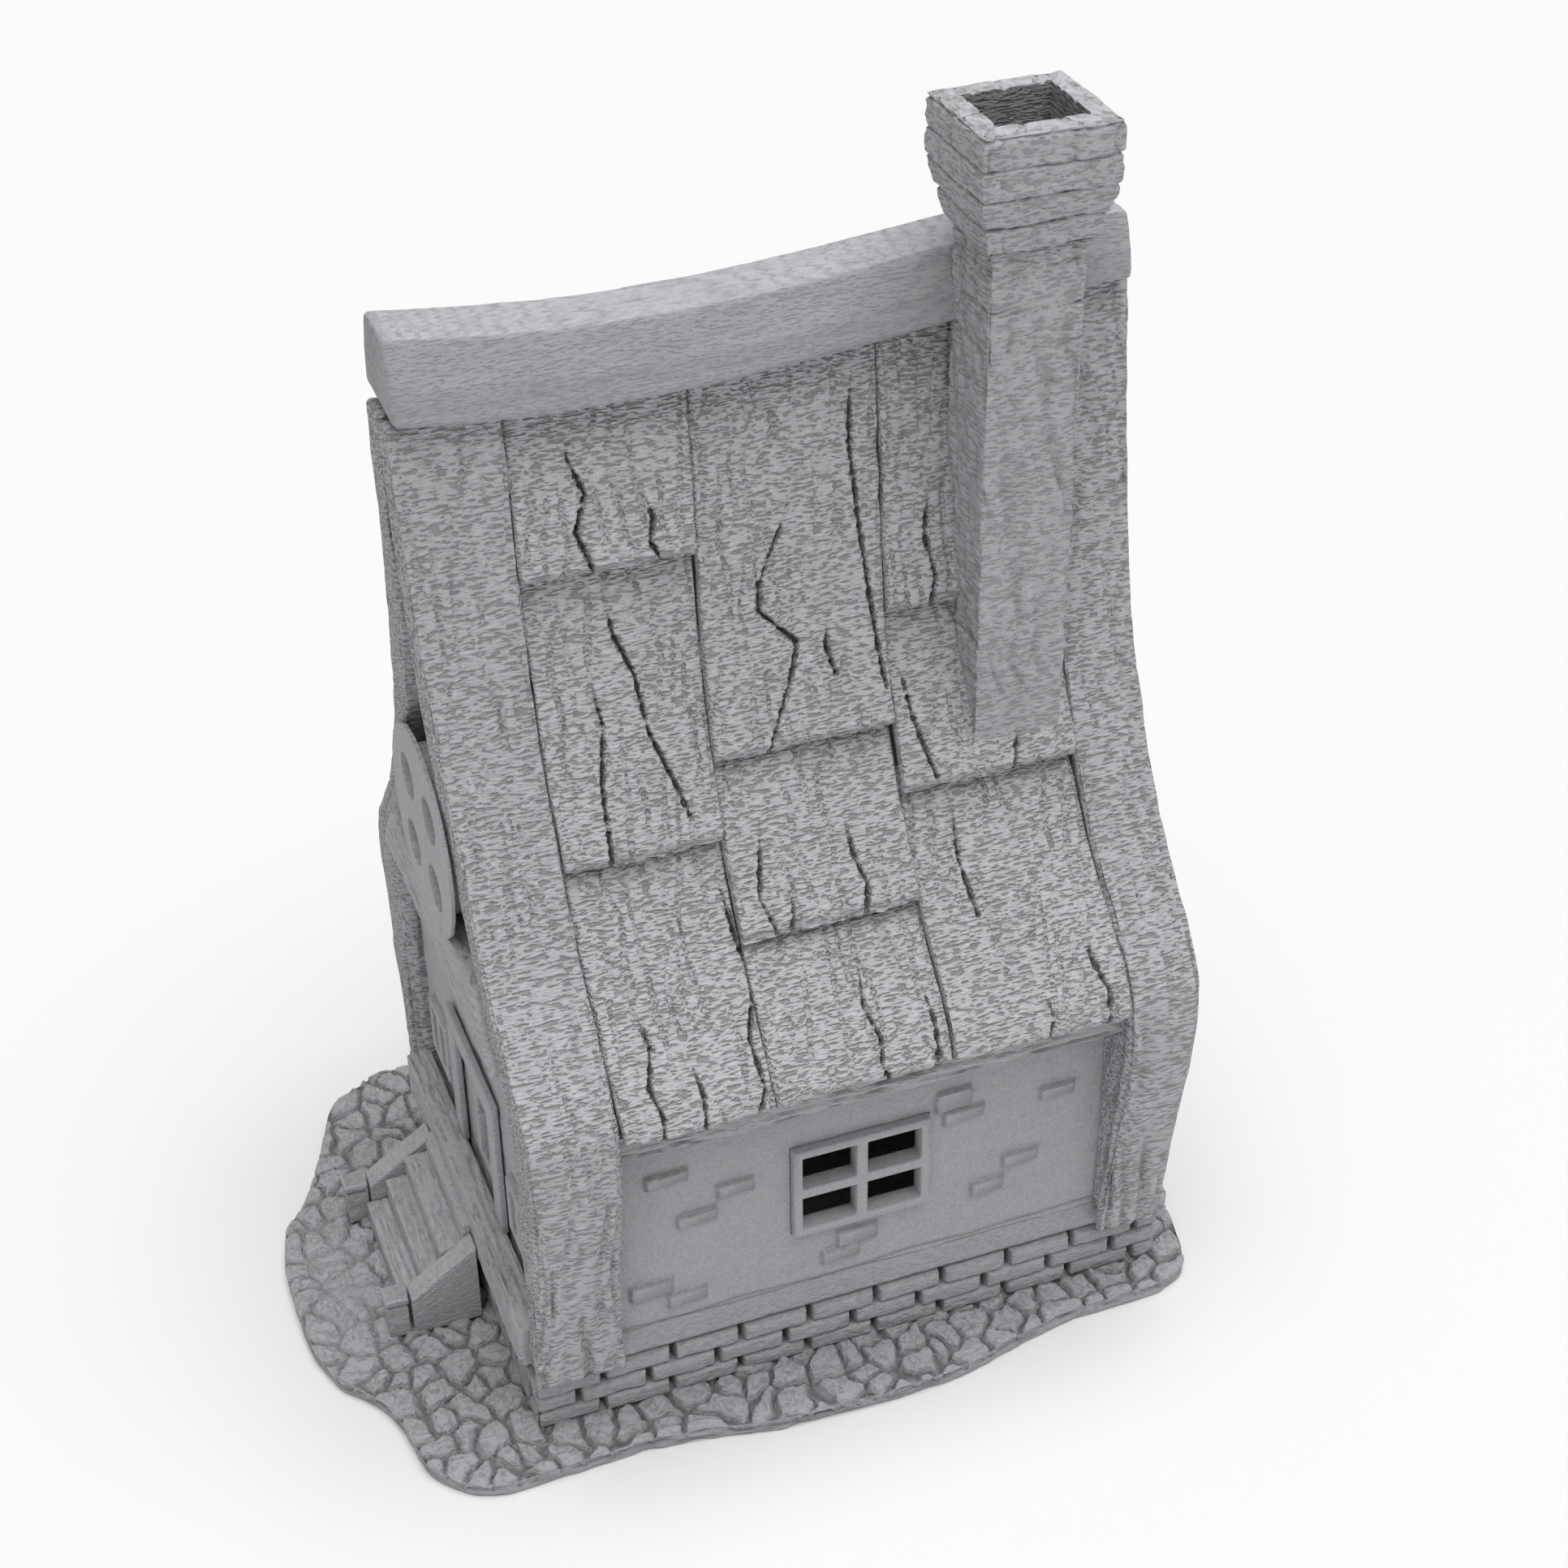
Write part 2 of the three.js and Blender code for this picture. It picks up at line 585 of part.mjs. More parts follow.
// Faces of a body stored as equal rings of points, one ring for each station
function closedLoft(positions, around, rings) {
  const index = [];
  for (let ring = 0; ring < rings - 1; ring += 1) {
    for (let side = 0; side < around; side += 1) {
      const next = (side + 1) % around;
      const [a, b] = [ring * around + side, ring * around + next];
      const [c, d] = [(ring + 1) * around + next, (ring + 1) * around + side];
      index.push(a, c, b, a, d, c);
    }
  }
  const far = (rings - 1) * around;
  for (let side = 1; side < around - 1; side += 1) {
    index.push(0, side, side + 1);
    index.push(far, far + side + 1, far + side);
  }
  const geometry = new THREE.BufferGeometry();
  geometry.setAttribute('position', new THREE.BufferAttribute(new Float32Array(positions), 3));
  geometry.setIndex(index);
  return geometry;
}

// Chimney

function chimneyShaft() {
  return box(SHAFT.x0, SHAFT.x1, SHAFT.y0, SHAFT.y1, SHAFT.bottom, SHAFT.top);
}

// Chimney cap: a stone collar, flared below and square above, open down the middle
function chimneyCap() {
  const rings = [[CAP_LOW_Z, CAP_LOW_OVERHANG], [CAP_FLARE_Z, CAP_OVERHANG], [CAP_TOP_Z, CAP_OVERHANG]];
  const positions = [];
  for (const [z, out] of rings) {
    const [x0, x1] = [SHAFT.x0 - out, SHAFT.x1 + out];
    const [y0, y1] = [SHAFT.y0 - out, SHAFT.y1 + out];
    positions.push(x0, y0, z, x1, y0, z, x1, y1, z, x0, y1, z);
  }
  const body = closedLoftUp(positions, 4, rings.length);
  const flue = shaftBox(CAP_OVERHANG - CAP_WALL, CAP_LOW_Z - 1, CAP_TOP_Z + 1);
  const seat = shaftBox(GAP / 2, CAP_LOW_Z - 1, SHAFT.top + GAP / 2);
  return cut(body, flue, seat);
}

function closedLoftUp(positions, around, rings) {
  const loft = closedLoft(positions, around, rings);
  const index = loft.index.array;
  for (let corner = 0; corner < index.length; corner += 3) {
    [index[corner], index[corner + 1]] = [index[corner + 1], index[corner]];
  }
  return loft;
}

// Assembly

add('base_slab', baseSlab(), COLOURS.stone);
add('plinth_right', plinthSide(), COLOURS.stone);
add('plinth_left', mirroredX(plinthSide()), COLOURS.stone);
const backEnd = plinthEnd();
add('plinth_back', backEnd, COLOURS.stone);
const frontEnd = backEnd.clone();
frontEnd.rotateZ(Math.PI);
add('plinth_front', frontEnd, COLOURS.stone);

add('stair_string_left', stringer(STAIR.left - STAIR.string), COLOURS.timber);
add('stair_string_right', stringer(STAIR.right), COLOURS.timber);
add('stair_newel_left', newel(STAIR.left - STAIR.string), COLOURS.timber);
add('stair_newel_right', newel(STAIR.right), COLOURS.timber);
STAIR.fronts.forEach((front, index) => {
  add(`stair_tread_${index + 1}`, tread(index), COLOURS.timber);
});

for (const [endName, end] of [['front', -1], ['back', 1]]) {
  for (const [sideName, side] of [['left', -1], ['right', 1]]) {
    add(`cruck_${endName}_${sideName}`, cruck(side, end), COLOURS.timber);
  }
  add(`sill_beam_${endName}`, sillBeam(end), COLOURS.timber);
  add(`tie_beam_${endName}`, tieBeam(end), COLOURS.timber);
  add(`gable_${endName}`, gable(end), COLOURS.wall);
  add(`round_window_${endName}`, roundWindow(end), COLOURS.timber);
}

add('small_window_left', smallWindow(-1), COLOURS.timber);
add('small_window_right', smallWindow(1), COLOURS.timber);
add('door_frame', doorFrame(), COLOURS.timber);
add('door_leaf', doorLeaf(), COLOURS.timber);
add('door_pull', doorPull(), COLOURS.timber);

for (const [sideName, place] of [['right', (geometry) => geometry], ['left', mirroredX]]) {
  add(`wall_${sideName}`, place(sideWall()), COLOURS.wall);
  add(`side_window_${sideName}`, place(sideWindow()), COLOURS.timber);
  add(`eave_plate_${sideName}`, place(eavePlate()), COLOURS.timber);
  const chimneySide = sideName === 'right';
  const deck = roofDeck();
  add(`roof_deck_${sideName}`, place(chimneySide ? cut(deck, shaftRoom()) : deck), COLOURS.board);
  BOARDS.forEach(([name, column, upper, lower], index) => {
    const board = roofBoard(column, upper, lower, index);
    const meetsShaft = chimneySide && name.startsWith('back');
    add(`shingle_${sideName}_${name}`, place(meetsShaft ? cut(board, shaftRoom()) : board), COLOURS.board);
  });
}

add('ridge_beam', cut(ridgeBeam(), shaftRoom()), COLOURS.timber);
add('chimney_shaft', chimneyShaft(), COLOURS.stone);
add('chimney_cap', chimneyCap(), COLOURS.stone);

export default cottage;
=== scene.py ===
import math

import bmesh
import bpy
import numpy as np
from mathutils import Matrix, Vector


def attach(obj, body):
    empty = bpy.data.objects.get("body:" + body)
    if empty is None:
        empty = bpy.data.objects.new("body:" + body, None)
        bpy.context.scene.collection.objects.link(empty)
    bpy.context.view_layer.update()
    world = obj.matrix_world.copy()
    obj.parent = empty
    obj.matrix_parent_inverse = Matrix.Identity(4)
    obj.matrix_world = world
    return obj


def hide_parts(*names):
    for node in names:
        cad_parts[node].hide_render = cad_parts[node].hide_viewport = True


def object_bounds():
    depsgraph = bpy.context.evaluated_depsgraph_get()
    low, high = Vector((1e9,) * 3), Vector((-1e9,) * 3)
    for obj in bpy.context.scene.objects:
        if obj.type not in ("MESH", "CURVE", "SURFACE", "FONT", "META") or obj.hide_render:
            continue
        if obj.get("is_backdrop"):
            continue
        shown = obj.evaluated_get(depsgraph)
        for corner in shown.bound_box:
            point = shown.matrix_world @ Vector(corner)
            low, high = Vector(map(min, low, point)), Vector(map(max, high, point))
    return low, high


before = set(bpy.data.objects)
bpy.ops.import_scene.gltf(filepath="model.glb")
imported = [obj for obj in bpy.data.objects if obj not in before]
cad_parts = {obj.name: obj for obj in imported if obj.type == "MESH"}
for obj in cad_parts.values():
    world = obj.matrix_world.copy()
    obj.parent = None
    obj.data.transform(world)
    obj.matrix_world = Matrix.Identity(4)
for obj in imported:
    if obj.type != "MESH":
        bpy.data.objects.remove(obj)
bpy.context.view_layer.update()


# ---------------------------------------------------------------------------------------------
# The base: a thin slab with an uneven outline, printed in grey resin-like plastic. Cobbles are
# sunk into its top, worn smooth before the steps, and its edge is left as broken rock.

MM = 0.001
BASE_TOP = 3.5
PLINTH_X = 34.3
PLINTH_Y = 50.0
BASE_OUTLINE = [
    (-52.4, -49), (-51.5, -55), (-46.6, -62.6), (-38.2, -65.6), (-30.4, -69.1), (-25.6, -71.4),
    (-21, -75.6), (-12, -77.6), (-4.9, -77.7), (2.6, -77.6), (6.6, -77.2), (13.6, -75),
    (16.6, -72.4), (19.9, -69.8), (24.8, -68.2), (34.4, -66.8), (39.2, -62.8), (40.4, -61),
    (41.6, -57.4), (41.5, -48), (41, -36), (42.3, -26), (44.2, -17.4), (44.9, -7), (45.2, 3),
    (44.6, 13), (41.8, 23.8), (39.9, 33), (39.9, 44.6), (39.4, 49.4), (37.4, 53.8), (32.5, 55.4),
    (20, 57.6), (6, 56.4), (-8, 58), (-22, 56.8), (-34, 57.4), (-42, 54), (-45.6, 46),
    (-45, 34), (-47, 20), (-46.2, 6), (-48, -8), (-46.6, -22), (-48.4, -36),
]


def dice(a, b, seed):
    """A fixed number from 0 to 1 for each pair of whole numbers: the fraction left by a large sine."""
    mixed = np.sin(a * 127.1 + b * 311.7 + seed * 74.7) * 43758.5453
    return mixed - np.floor(mixed)


def clouds(x, y, seed):
    """Smooth noise from -1 to 1: dice at whole numbers, blended between them by 3t^2 - 2t^3."""
    left, low = np.floor(x), np.floor(y)
    tx, ty = x - left, y - low
    tx, ty = tx * tx * (3 - 2 * tx), ty * ty * (3 - 2 * ty)
    below = dice(left, low, seed) * (1 - tx) + dice(left + 1, low, seed) * tx
    above = dice(left, low + 1, seed) * (1 - tx) + dice(left + 1, low + 1, seed) * tx
    return 2 * (below * (1 - ty) + above * ty) - 1


def cobbles(x, y, pitch, seed):
    """Rounded stones on jittered centres: how far a point lies inside its joint, and its stone's number."""
    column, row = np.floor(x / pitch), np.floor(y / pitch)
    nearest = np.full(x.shape, 1e3)
    second = np.full(x.shape, 1e3)
    stone = np.zeros(x.shape)
    for across in (-1, 0, 1):
        for up in (-1, 0, 1):
            a, b = column + across, row + up
            centre_x = (a + 0.5 + 0.8 * (dice(a, b, seed) - 0.5)) * pitch
            centre_y = (b + 0.5 + 0.8 * (dice(a, b, seed + 1) - 0.5)) * pitch
            stretch = 0.8 + 0.4 * dice(a, b, seed + 2)
            distance = np.hypot((x - centre_x) * stretch, (y - centre_y) / stretch)
            closer = distance < nearest
            second = np.where(closer, nearest, np.minimum(second, distance))
            stone = np.where(closer, dice(a, b, seed + 3), stone)
            nearest = np.where(closer, distance, nearest)
    return second - nearest, stone


def loft(rings):
    """Faces of a closed tube: each ring of points is joined to the next, and both ends are capped."""
    count, around = rings.shape[:2]
    index = np.arange(count * around).reshape(count, around)
    after = np.roll(index, -1, axis=1)
    faces = np.stack([index[:-1], after[:-1], after[1:], index[1:]], -1).reshape(-1, 4)
    caps = [index[0, ::-1].tolist(), index[-1].tolist()]
    return rings.reshape(-1, rings.shape[-1]), faces, caps


class Wire:
    """A shader socket that adds Math nodes when it is used in a Python expression."""

    def __init__(self, tree, socket):
        self.tree = tree
        self.socket = socket

    def node(self, kind, settings=None, inputs=None, output=0):
        """Adds a node of a kind, sets it up, fills its sockets and gives one output as a Wire."""
        made = self.tree.nodes.new("ShaderNode" + kind)
        for key, value in (settings or {}).items():
            setattr(made, key, value)
        for key, value in (inputs or {}).items():
            if isinstance(value, Wire):
                self.tree.links.new(value.socket, made.inputs[key])
            else:
                made.inputs[key].default_value = value
        return Wire(self.tree, made.outputs[output])

    def math(self, operation, first, second=0.0):
        return self.node("Math", {"operation": operation}, {0: first, 1: second})

    def __add__(self, other):
        return self.math("ADD", self, other)

    def __sub__(self, other):
        return self.math("SUBTRACT", self, other)

    def __mul__(self, other):
        return self.math("MULTIPLY", self, other)

    def __radd__(self, other):
        return self.math("ADD", other, self)

    def __rsub__(self, other):
        return self.math("SUBTRACT", other, self)


LAYER = 0.24


def printed(name, tone, dash, grit, stretch=(2.6, 0.6, 2.6), crown=0.0):
    """Matte printed plastic: cloudy grey, fine grit, short level cuts with painted shade in them, a painted
    highlight on the raised lumps, and painted shade in joints.

    Level faces show layer edges. The crown number lightens them as a painted top light.
    """
    material = bpy.data.materials.new(name)
    material.use_nodes = True
    tree = material.node_tree
    shader = tree.nodes["Principled BSDF"]
    start = Wire(tree, None)
    place = start.node("TexCoord", output=3)

    def noise(along_x, along_y, along_z, detail):
        scale = (along_x / MM, along_y / MM, along_z / MM)
        mapped = start.node("Mapping", {}, {"Vector": place, "Scale": scale})
        return start.node("TexNoise", {}, {"Vector": mapped, "Scale": 1.0, "Detail": detail,
                                           "Roughness": 0.55, "Distortion": 0.2})

    def ramp(value, low, high, first=0.0, last=1.0):
        limits = {0: value, 1: low, 2: high, 3: first, 4: last}
        return start.node("MapRange", {"interpolation_type": "SMOOTHSTEP"}, limits)

    cloud = noise(0.06, 0.06, 0.06, 3.0)
    speck = noise(2.6, 2.6, 2.6, 2.0)
    lumps = noise(*stretch, 1.0)
    # The cuts are bumped in and also darkened in the colour as painted shade; the raised lumps get a painted
    # highlight.
    cut_and_shade_mask = ramp(lumps, 0.38, 0.47)
    painted_highlight = ramp(lumps, 0.56, 0.66)
    # Painted shade in joints, cracks and recesses, read from a point attribute.
    joint = start.node("Attribute", {"attribute_name": "sunk"}, {}, 2)
    height = start.node("SeparateXYZ", {}, {"Vector": place}, 2)
    facing = start.node("SeparateXYZ", {}, {"Vector": start.node("NewGeometry", output=1)}, 2)
    to_layer = start.math("PINGPONG", height * (1 / (LAYER * MM)), 0.5)
    layer_line = ramp(to_layer, 0.24, 0.04) * ramp(facing, 0.8, 0.985)
    # Painted light in the colour: crown lightens upward faces as a painted top light, and joints get painted
    # shade.
    shade = (0.93 + cloud * 0.12 + (speck - 0.5) * (3.5 * grit) + painted_highlight * (0.12 * dash)
             + ramp(facing, 0.8, 0.98) * crown
             - layer_line * 0.2 - (1 - cut_and_shade_mask) * (0.4 * dash)) * (1 - joint * 0.62)
    colour = start.node("Mix", {"data_type": "RGBA", "clamp_factor": False},
                        {0: shade, 6: (0, 0, 0, 1), 7: tuple(tone) + (1.0,)}, 2)
    relief = (cut_and_shade_mask * (0.14 * dash) + lumps * (0.7 * dash) + speck * grit - layer_line * 0.06) * MM
    bump = start.node("Bump", {}, {"Height": relief, "Distance": 1.0, "Strength": 1.0})
    rough = 0.72 + speck * 0.2
    for key, value in (("Base Color", colour), ("Roughness", rough), ("Normal", bump)):
        tree.links.new(value.socket, shader.inputs[key])
    shader.inputs["Specular IOR Level"].default_value = 0.3
    return material


STONE = printed("printed_stone", (0.43, 0.425, 0.445), dash=0.25, grit=0.12, stretch=(0.9, 0.9, 2.4))


def make_piece(name, points, faces, caps, material, slot, body, replaced, sharp=50):
    """A mesh from points in millimetres, turned outwards by the sign of the volume its faces close.

    A fourth number on each point is painted shade, from 0 to 1, that the material puts in joints, cracks and
    other recesses.
    """
    sunk = points[:, 3] if points.shape[1] > 3 else np.zeros(len(points))
    points = points[:, :3]
    corners = points[faces]
    volume = np.einsum("ij,ij->i", corners[:, 0], np.cross(corners[:, 1], corners[:, 2])).sum()
    volume += np.einsum("ij,ij->i", corners[:, 0], np.cross(corners[:, 2], corners[:, 3])).sum()
    for cap in caps:
        fan = points[cap]
        volume += np.einsum("ij,ij->i", np.cross(fan[1:-1], fan[2:]), fan[:1].repeat(len(cap) - 2, 0)).sum()
    polygons = faces.tolist() + caps
    if volume < 0:
        polygons = [polygon[::-1] for polygon in polygons]
    mesh = bpy.data.meshes.new(name)
    mesh.from_pydata((points * MM).tolist(), [], polygons)
    mesh.polygons.foreach_set("use_smooth", np.ones(len(mesh.polygons), bool))
    mesh.set_sharp_from_angle(angle=math.radians(sharp))
    shade_per_point = np.clip(sunk, 0, 1).astype(np.float32)
    mesh.attributes.new("sunk", "FLOAT", "POINT").data.foreach_set("value", shade_per_point)
    mesh.materials.append(material)
    piece = bpy.data.objects.new(name, mesh)
    bpy.context.collection.objects.link(piece)
    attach(piece, body)
    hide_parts(*replaced)
    return piece


def even_outline(corners, count):
    """Evenly spaced points round a closed outline, with its corners eased by a short running mean."""
    closed = np.array(corners + corners[:1], float)
    steps = np.hypot(*np.diff(closed, axis=0).T)
    gone = np.concatenate([[0], np.cumsum(steps)])
    where = np.linspace(0, gone[-1], count, endpoint=False)
    line = np.stack([np.interp(where, gone, closed[:, axis]) for axis in (0, 1)], -1)
    return sum(np.roll(line, shift, axis=0) for shift in range(-5, 6)) / 11


def base_rings():
    """Rings from the floor inside the plinth, over the cobbles, down the broken edge to the underside."""
    rim = even_outline(BASE_OUTLINE, 1100)
    heart = np.array([0.0, -5.0])
    ray = rim - heart
    reach_x = (PLINTH_X - 0.6) / np.maximum(np.abs(ray[:, 0]), 1e-6)
    far_y = np.where(ray[:, 1] > 0, PLINTH_Y - 0.6 - heart[1], PLINTH_Y - 0.6 + heart[1])
    reach_y = far_y / np.maximum(np.abs(ray[:, 1]), 1e-6)
    inner = heart + ray * np.minimum(reach_x, reach_y)[:, None]
    rows = np.linspace(0, 1, 76)[:, None, None]
    flat = inner + (rim - inner) * (1 - (1 - rows) ** 1.15)
    x, y = flat[..., 0], flat[..., 1]
    warp_x = x + 1.0 * clouds(x / 5, y / 5, 3) + 0.45 * clouds(x / 1.5, y / 1.5, 13)
    warp_y = y + 1.0 * clouds(x / 5, y / 5, 4) + 0.45 * clouds(x / 1.5, y / 1.5, 14)
    gap, stone = cobbles(warp_x, warp_y, 4.9, 11)
    worn = np.exp(-(((x + 5) / 15) ** 2) - ((y + 71) / 6) ** 2)
    rise = np.clip((gap - 0.42) / 0.6, 0, 1)
    crown = rise * rise * (3 - 2 * rise) + 0.12 * np.clip((gap - 1) / 3, 0, 1)
    lumps = 0.16 * clouds(x / 1.6, y / 1.6, 5) + 0.08 * clouds(x / 0.6, y / 0.6, 6)
    lumps = lumps + 0.14 * np.round(2 * clouds(x / 2.3, y / 2.3, 7)) * rise
    top = BASE_TOP - 1.15 + crown * (0.85 + 0.4 * stone) * (1 - 0.7 * worn) + lumps + 0.6 * worn
    to_edge = np.linalg.norm(rim - flat, axis=-1)
    top = top - 0.9 * (1 - np.clip(to_edge / 1.1, 0, 1)) ** 2
    # The fourth number is painted shade in the gaps between cobbles, weaker where they are worn.
    surface = np.dstack([flat, top, (1 - np.clip((gap - 0.2) / 0.6, 0, 1)) * (1 - 0.75 * worn)])
    sides = []
    around = np.arange(len(rim)) * 0.38
    middle = rim.mean(0)
    for height in (2.4, 2.1, 1.8, 1.5, 1.2, 0.9, 0.6, 0.3, 0.0):
        cut = 0.3 + 0.35 * clouds(around / 2.6, np.full(len(rim), height * 1.3), 8)
        ledge = 0.3 * (abs(height - 1.5) < 0.1) * (0.5 + clouds(around / 4, np.zeros(len(rim)), 9))
        cut = cut + ledge + 0.25 * (height < 0.1)
        inward = (middle - rim) / np.linalg.norm(middle - rim, axis=1)[:, None]
        line = rim + inward * np.clip(cut, 0, 1)[:, None]
        # The broken edge gets painted shade where it is cut in deeper.
        sides.append(np.column_stack([line, np.full(len(rim), height), 0.8 * np.clip(cut, 0, 1) - 0.1]))
    shrunk = heart + (inner - heart) * 0.97
    floor = np.column_stack([shrunk, np.full(len(rim), BASE_TOP - 0.2), np.zeros(len(rim))])
    return np.concatenate([floor[None], surface, np.array(sides)])


make_piece("cobbled_base", *loft(base_rings()), STONE, "stone_plastic", "base", ["base_slab"])


# ---------------------------------------------------------------------------------------------
# The plinth: three courses of long bricks under a plain band, printed in one with the base.
# Upright joints are cut deep, and a lip inside the band locates the house.

PLINTH_TOP = 17.7
LIP_TOP = 19.6
PLINTH_INSIDE = 29.7
BRICK_LONG = 10.7
BRICK_HIGH = 3.1
PLINTH_FOOT = 3.0


def plate(outer, inner, keep=None):
    """Faces of a closed plate: kept cells of the outer and the inner grid, and a rim wherever they end.

    A whole plate's back is one long face a row, with all the edge points in its first and last face.
    """
    rows, columns = outer.shape[:2]
    whole = keep is None
    if whole:
        keep = np.ones((rows - 1, columns - 1), bool)
    front = np.arange(rows * columns).reshape(rows, columns)
    back = front + rows * columns

    def corners(grid):
        return grid[:-1, :-1], grid[:-1, 1:], grid[1:, 1:], grid[1:, :-1]

    a, b, c, d = corners(front)
    e, f, g, h = corners(back)
    bare = np.pad(keep, 1)
    faces = [np.stack([a, b, c, d], -1)[keep]]
    caps = []
    if whole:
        left, right = back[1:-1, 0], back[1:-1, -1]
        faces.append(np.stack([left[1:], right[1:], right[:-1], left[:-1]], -1))
        first = np.concatenate([[left[0], right[0]], back[0, ::-1]])
        last = np.concatenate([back[-1], [right[-1], left[-1]]])
        caps = [first, last]
    else:
        faces.append(np.stack([h, g, f, e], -1)[keep])
    for edge, gone in (((a, e, f, b), bare[:-2, 1:-1]), ((b, f, g, c), bare[1:-1, 2:]),
                       ((c, g, h, d), bare[2:, 1:-1]), ((d, h, e, a), bare[1:-1, :-2])):
        faces.append(np.stack(edge, -1)[keep & ~gone])
    faces = np.concatenate(faces)
    if outer.shape[2] > inner.shape[2]:
        inner = np.dstack([inner, np.zeros(inner.shape[:2])])
    points = np.concatenate([outer.reshape(-1, outer.shape[2]), inner.reshape(-1, inner.shape[2])])
    used = np.unique(np.concatenate([faces.ravel()] + caps))
    return points[used], np.searchsorted(used, faces), [np.searchsorted(used, cap).tolist() for cap in caps]


def brick_cut(along, up, seed):
    """How deep the brick face lies below its front: bed joints, deep uprights, eased brick edges."""
    course = np.clip(np.floor((up - PLINTH_FOOT) / BRICK_HIGH), 0, 3)
    from_bed = up - PLINTH_FOOT - course * BRICK_HIGH
    to_bed = np.minimum(from_bed, BRICK_HIGH - from_bed)
    shift = np.where(course == 1, 0.37, 0.0) + 0.05 * dice(course, 0 * course, seed)
    place = along / BRICK_LONG + shift
    brick = np.floor(place)
    joint = np.minimum(place - brick, brick + 1 - place) * BRICK_LONG
    band = course > 2
    bed = 0.75 * np.exp(-((to_bed / 0.22) ** 4)) + 0.22 * np.exp(-((to_bed / 0.6) ** 2))
    upright = 2.1 / (1 + np.exp((joint - 0.42) / 0.07)) + 0.25 * np.exp(-((joint / 0.9) ** 2))
    tilt = 0.35 * (dice(brick, course, seed) - 0.2)
    wobble = 0.12 * clouds(along / 1.4, up / 0.8, seed) + 0.06 * clouds(along / 0.5, up / 0.4, seed + 1)
    foot_line = 0.5 * np.exp(-(((up - PLINTH_FOOT - 3 * BRICK_HIGH) / 0.35) ** 2))
    plain = 0.75 + foot_line + 0.5 * wobble
    return np.where(band, plain, np.maximum(bed, upright) + tilt + wobble)


def plinth_side(turn, seed):
    """A long wall that wraps both corners: a grid along its face and up, pushed in by brick_cut."""
    wrap = PLINTH_X - PLINTH_INSIDE
    run = np.arange(0, 2 * (wrap + PLINTH_Y) + 0.01, 0.24)
    up = np.concatenate([np.arange(PLINTH_FOOT, PLINTH_TOP - 0.2, 0.24), [PLINTH_TOP - 0.2, PLINTH_TOP]])
    s, z = np.meshgrid(run, up)
    far = s - wrap - 2 * PLINTH_Y
    x = np.where(s < wrap, PLINTH_INSIDE + s, np.where(far > 0, PLINTH_X - far, PLINTH_X))
    y = np.clip(s - wrap - PLINTH_Y, -PLINTH_Y, PLINTH_Y)
    cut = brick_cut(s - wrap + 0.1, z, seed) + 0.35 * (z > PLINTH_TOP - 0.1)
    corner = np.minimum(np.abs(s - wrap), np.abs(far))
    cut = cut + 0.3 * np.exp(-((corner / 0.5) ** 2))
    # Painted shade in the deep joints between bricks, left off the plain band.
    sunk = np.clip((cut - 0.55) / 0.9, 0, 1) * (z < PLINTH_TOP - 4.5)
    face_x, face_y = np.minimum(x, PLINTH_X - cut), np.clip(y, cut - PLINTH_Y, PLINTH_Y - cut)
    outer = np.dstack([turn * face_x, face_y, z, sunk])
    inner_y = (PLINTH_Y - 3.2) * (2 * s / run[-1] - 1)
    inner = np.dstack([turn * np.full(s.shape, PLINTH_INSIDE + 1.6), inner_y, z])
    return plate(outer, inner)


for side_name, turn in (("right", 1), ("left", -1)):
    make_piece(f"brick_plinth_{side_name}", *plinth_side(turn, 21 + turn), STONE, "stone_plastic", "base",
               [f"plinth_{side_name}"])


def plinth_end(turn, seed):
    """A short wall between the long ones: a flat grid pushed in by brick_cut."""
    run = np.arange(-PLINTH_INSIDE + 0.2, PLINTH_INSIDE - 0.1, 0.25)
    up = np.arange(PLINTH_FOOT, PLINTH_TOP + 0.05, 0.25)
    x, z = np.meshgrid(run, up)
    y = PLINTH_Y - brick_cut(x + 40, z, seed)
    return plate(np.dstack([turn * x, turn * y, z]), np.dstack([turn * x, np.full(x.shape, turn * 47.0), z]))


for end_name, turn in (("front", -1), ("back", 1)):
    make_piece(f"brick_plinth_{end_name}", *plinth_end(turn, 25 + turn), STONE, "stone_plastic", "base",
               [f"plinth_{end_name}"])


# ---------------------------------------------------------------------------------------------
# The locating lip: a low printed fence just inside the plinth. It keeps the lifted house in line
# when it is set down again, and it is hidden while the house is on.

LIP_THICK = 1.6
LIP_FOOT = 3.3
LIP_FAR = 46.9
LIP_NEAR = 45.4


def square_ring(half_a, half_b, step):
    """A unit square's edge as points, about one step apart on a bar of these half sizes, and the way gone."""
    count_a = max(4, int(round(2 * half_a / step)))
    count_b = max(4, int(round(2 * half_b / step)))
    run_a = np.linspace(-1, 1, count_a, endpoint=False)
    run_b = np.linspace(-1, 1, count_b, endpoint=False)
    side_a = np.concatenate([np.ones(count_b), -run_a, -np.ones(count_b), run_a])
    side_b = np.concatenate([run_b, np.ones(count_a), -run_b, -np.ones(count_a)])
    pace_b = np.full(count_b, 2 * half_b / count_b)
    pace_a = np.full(count_a, 2 * half_a / count_a)
    pace = np.concatenate([pace_b, pace_a] * 2)
    return side_a, side_b, np.cumsum(pace) - pace


def stations(length, step, end):
    """Distances along a bar, close together at its two rounded ends."""
    near = end * np.array([0.0, 0.08, 0.3, 0.6])
    middle = np.linspace(end, length - end, max(3, int((length - 2 * end) / step)))
    return np.concatenate([near, middle, length - near[::-1]])


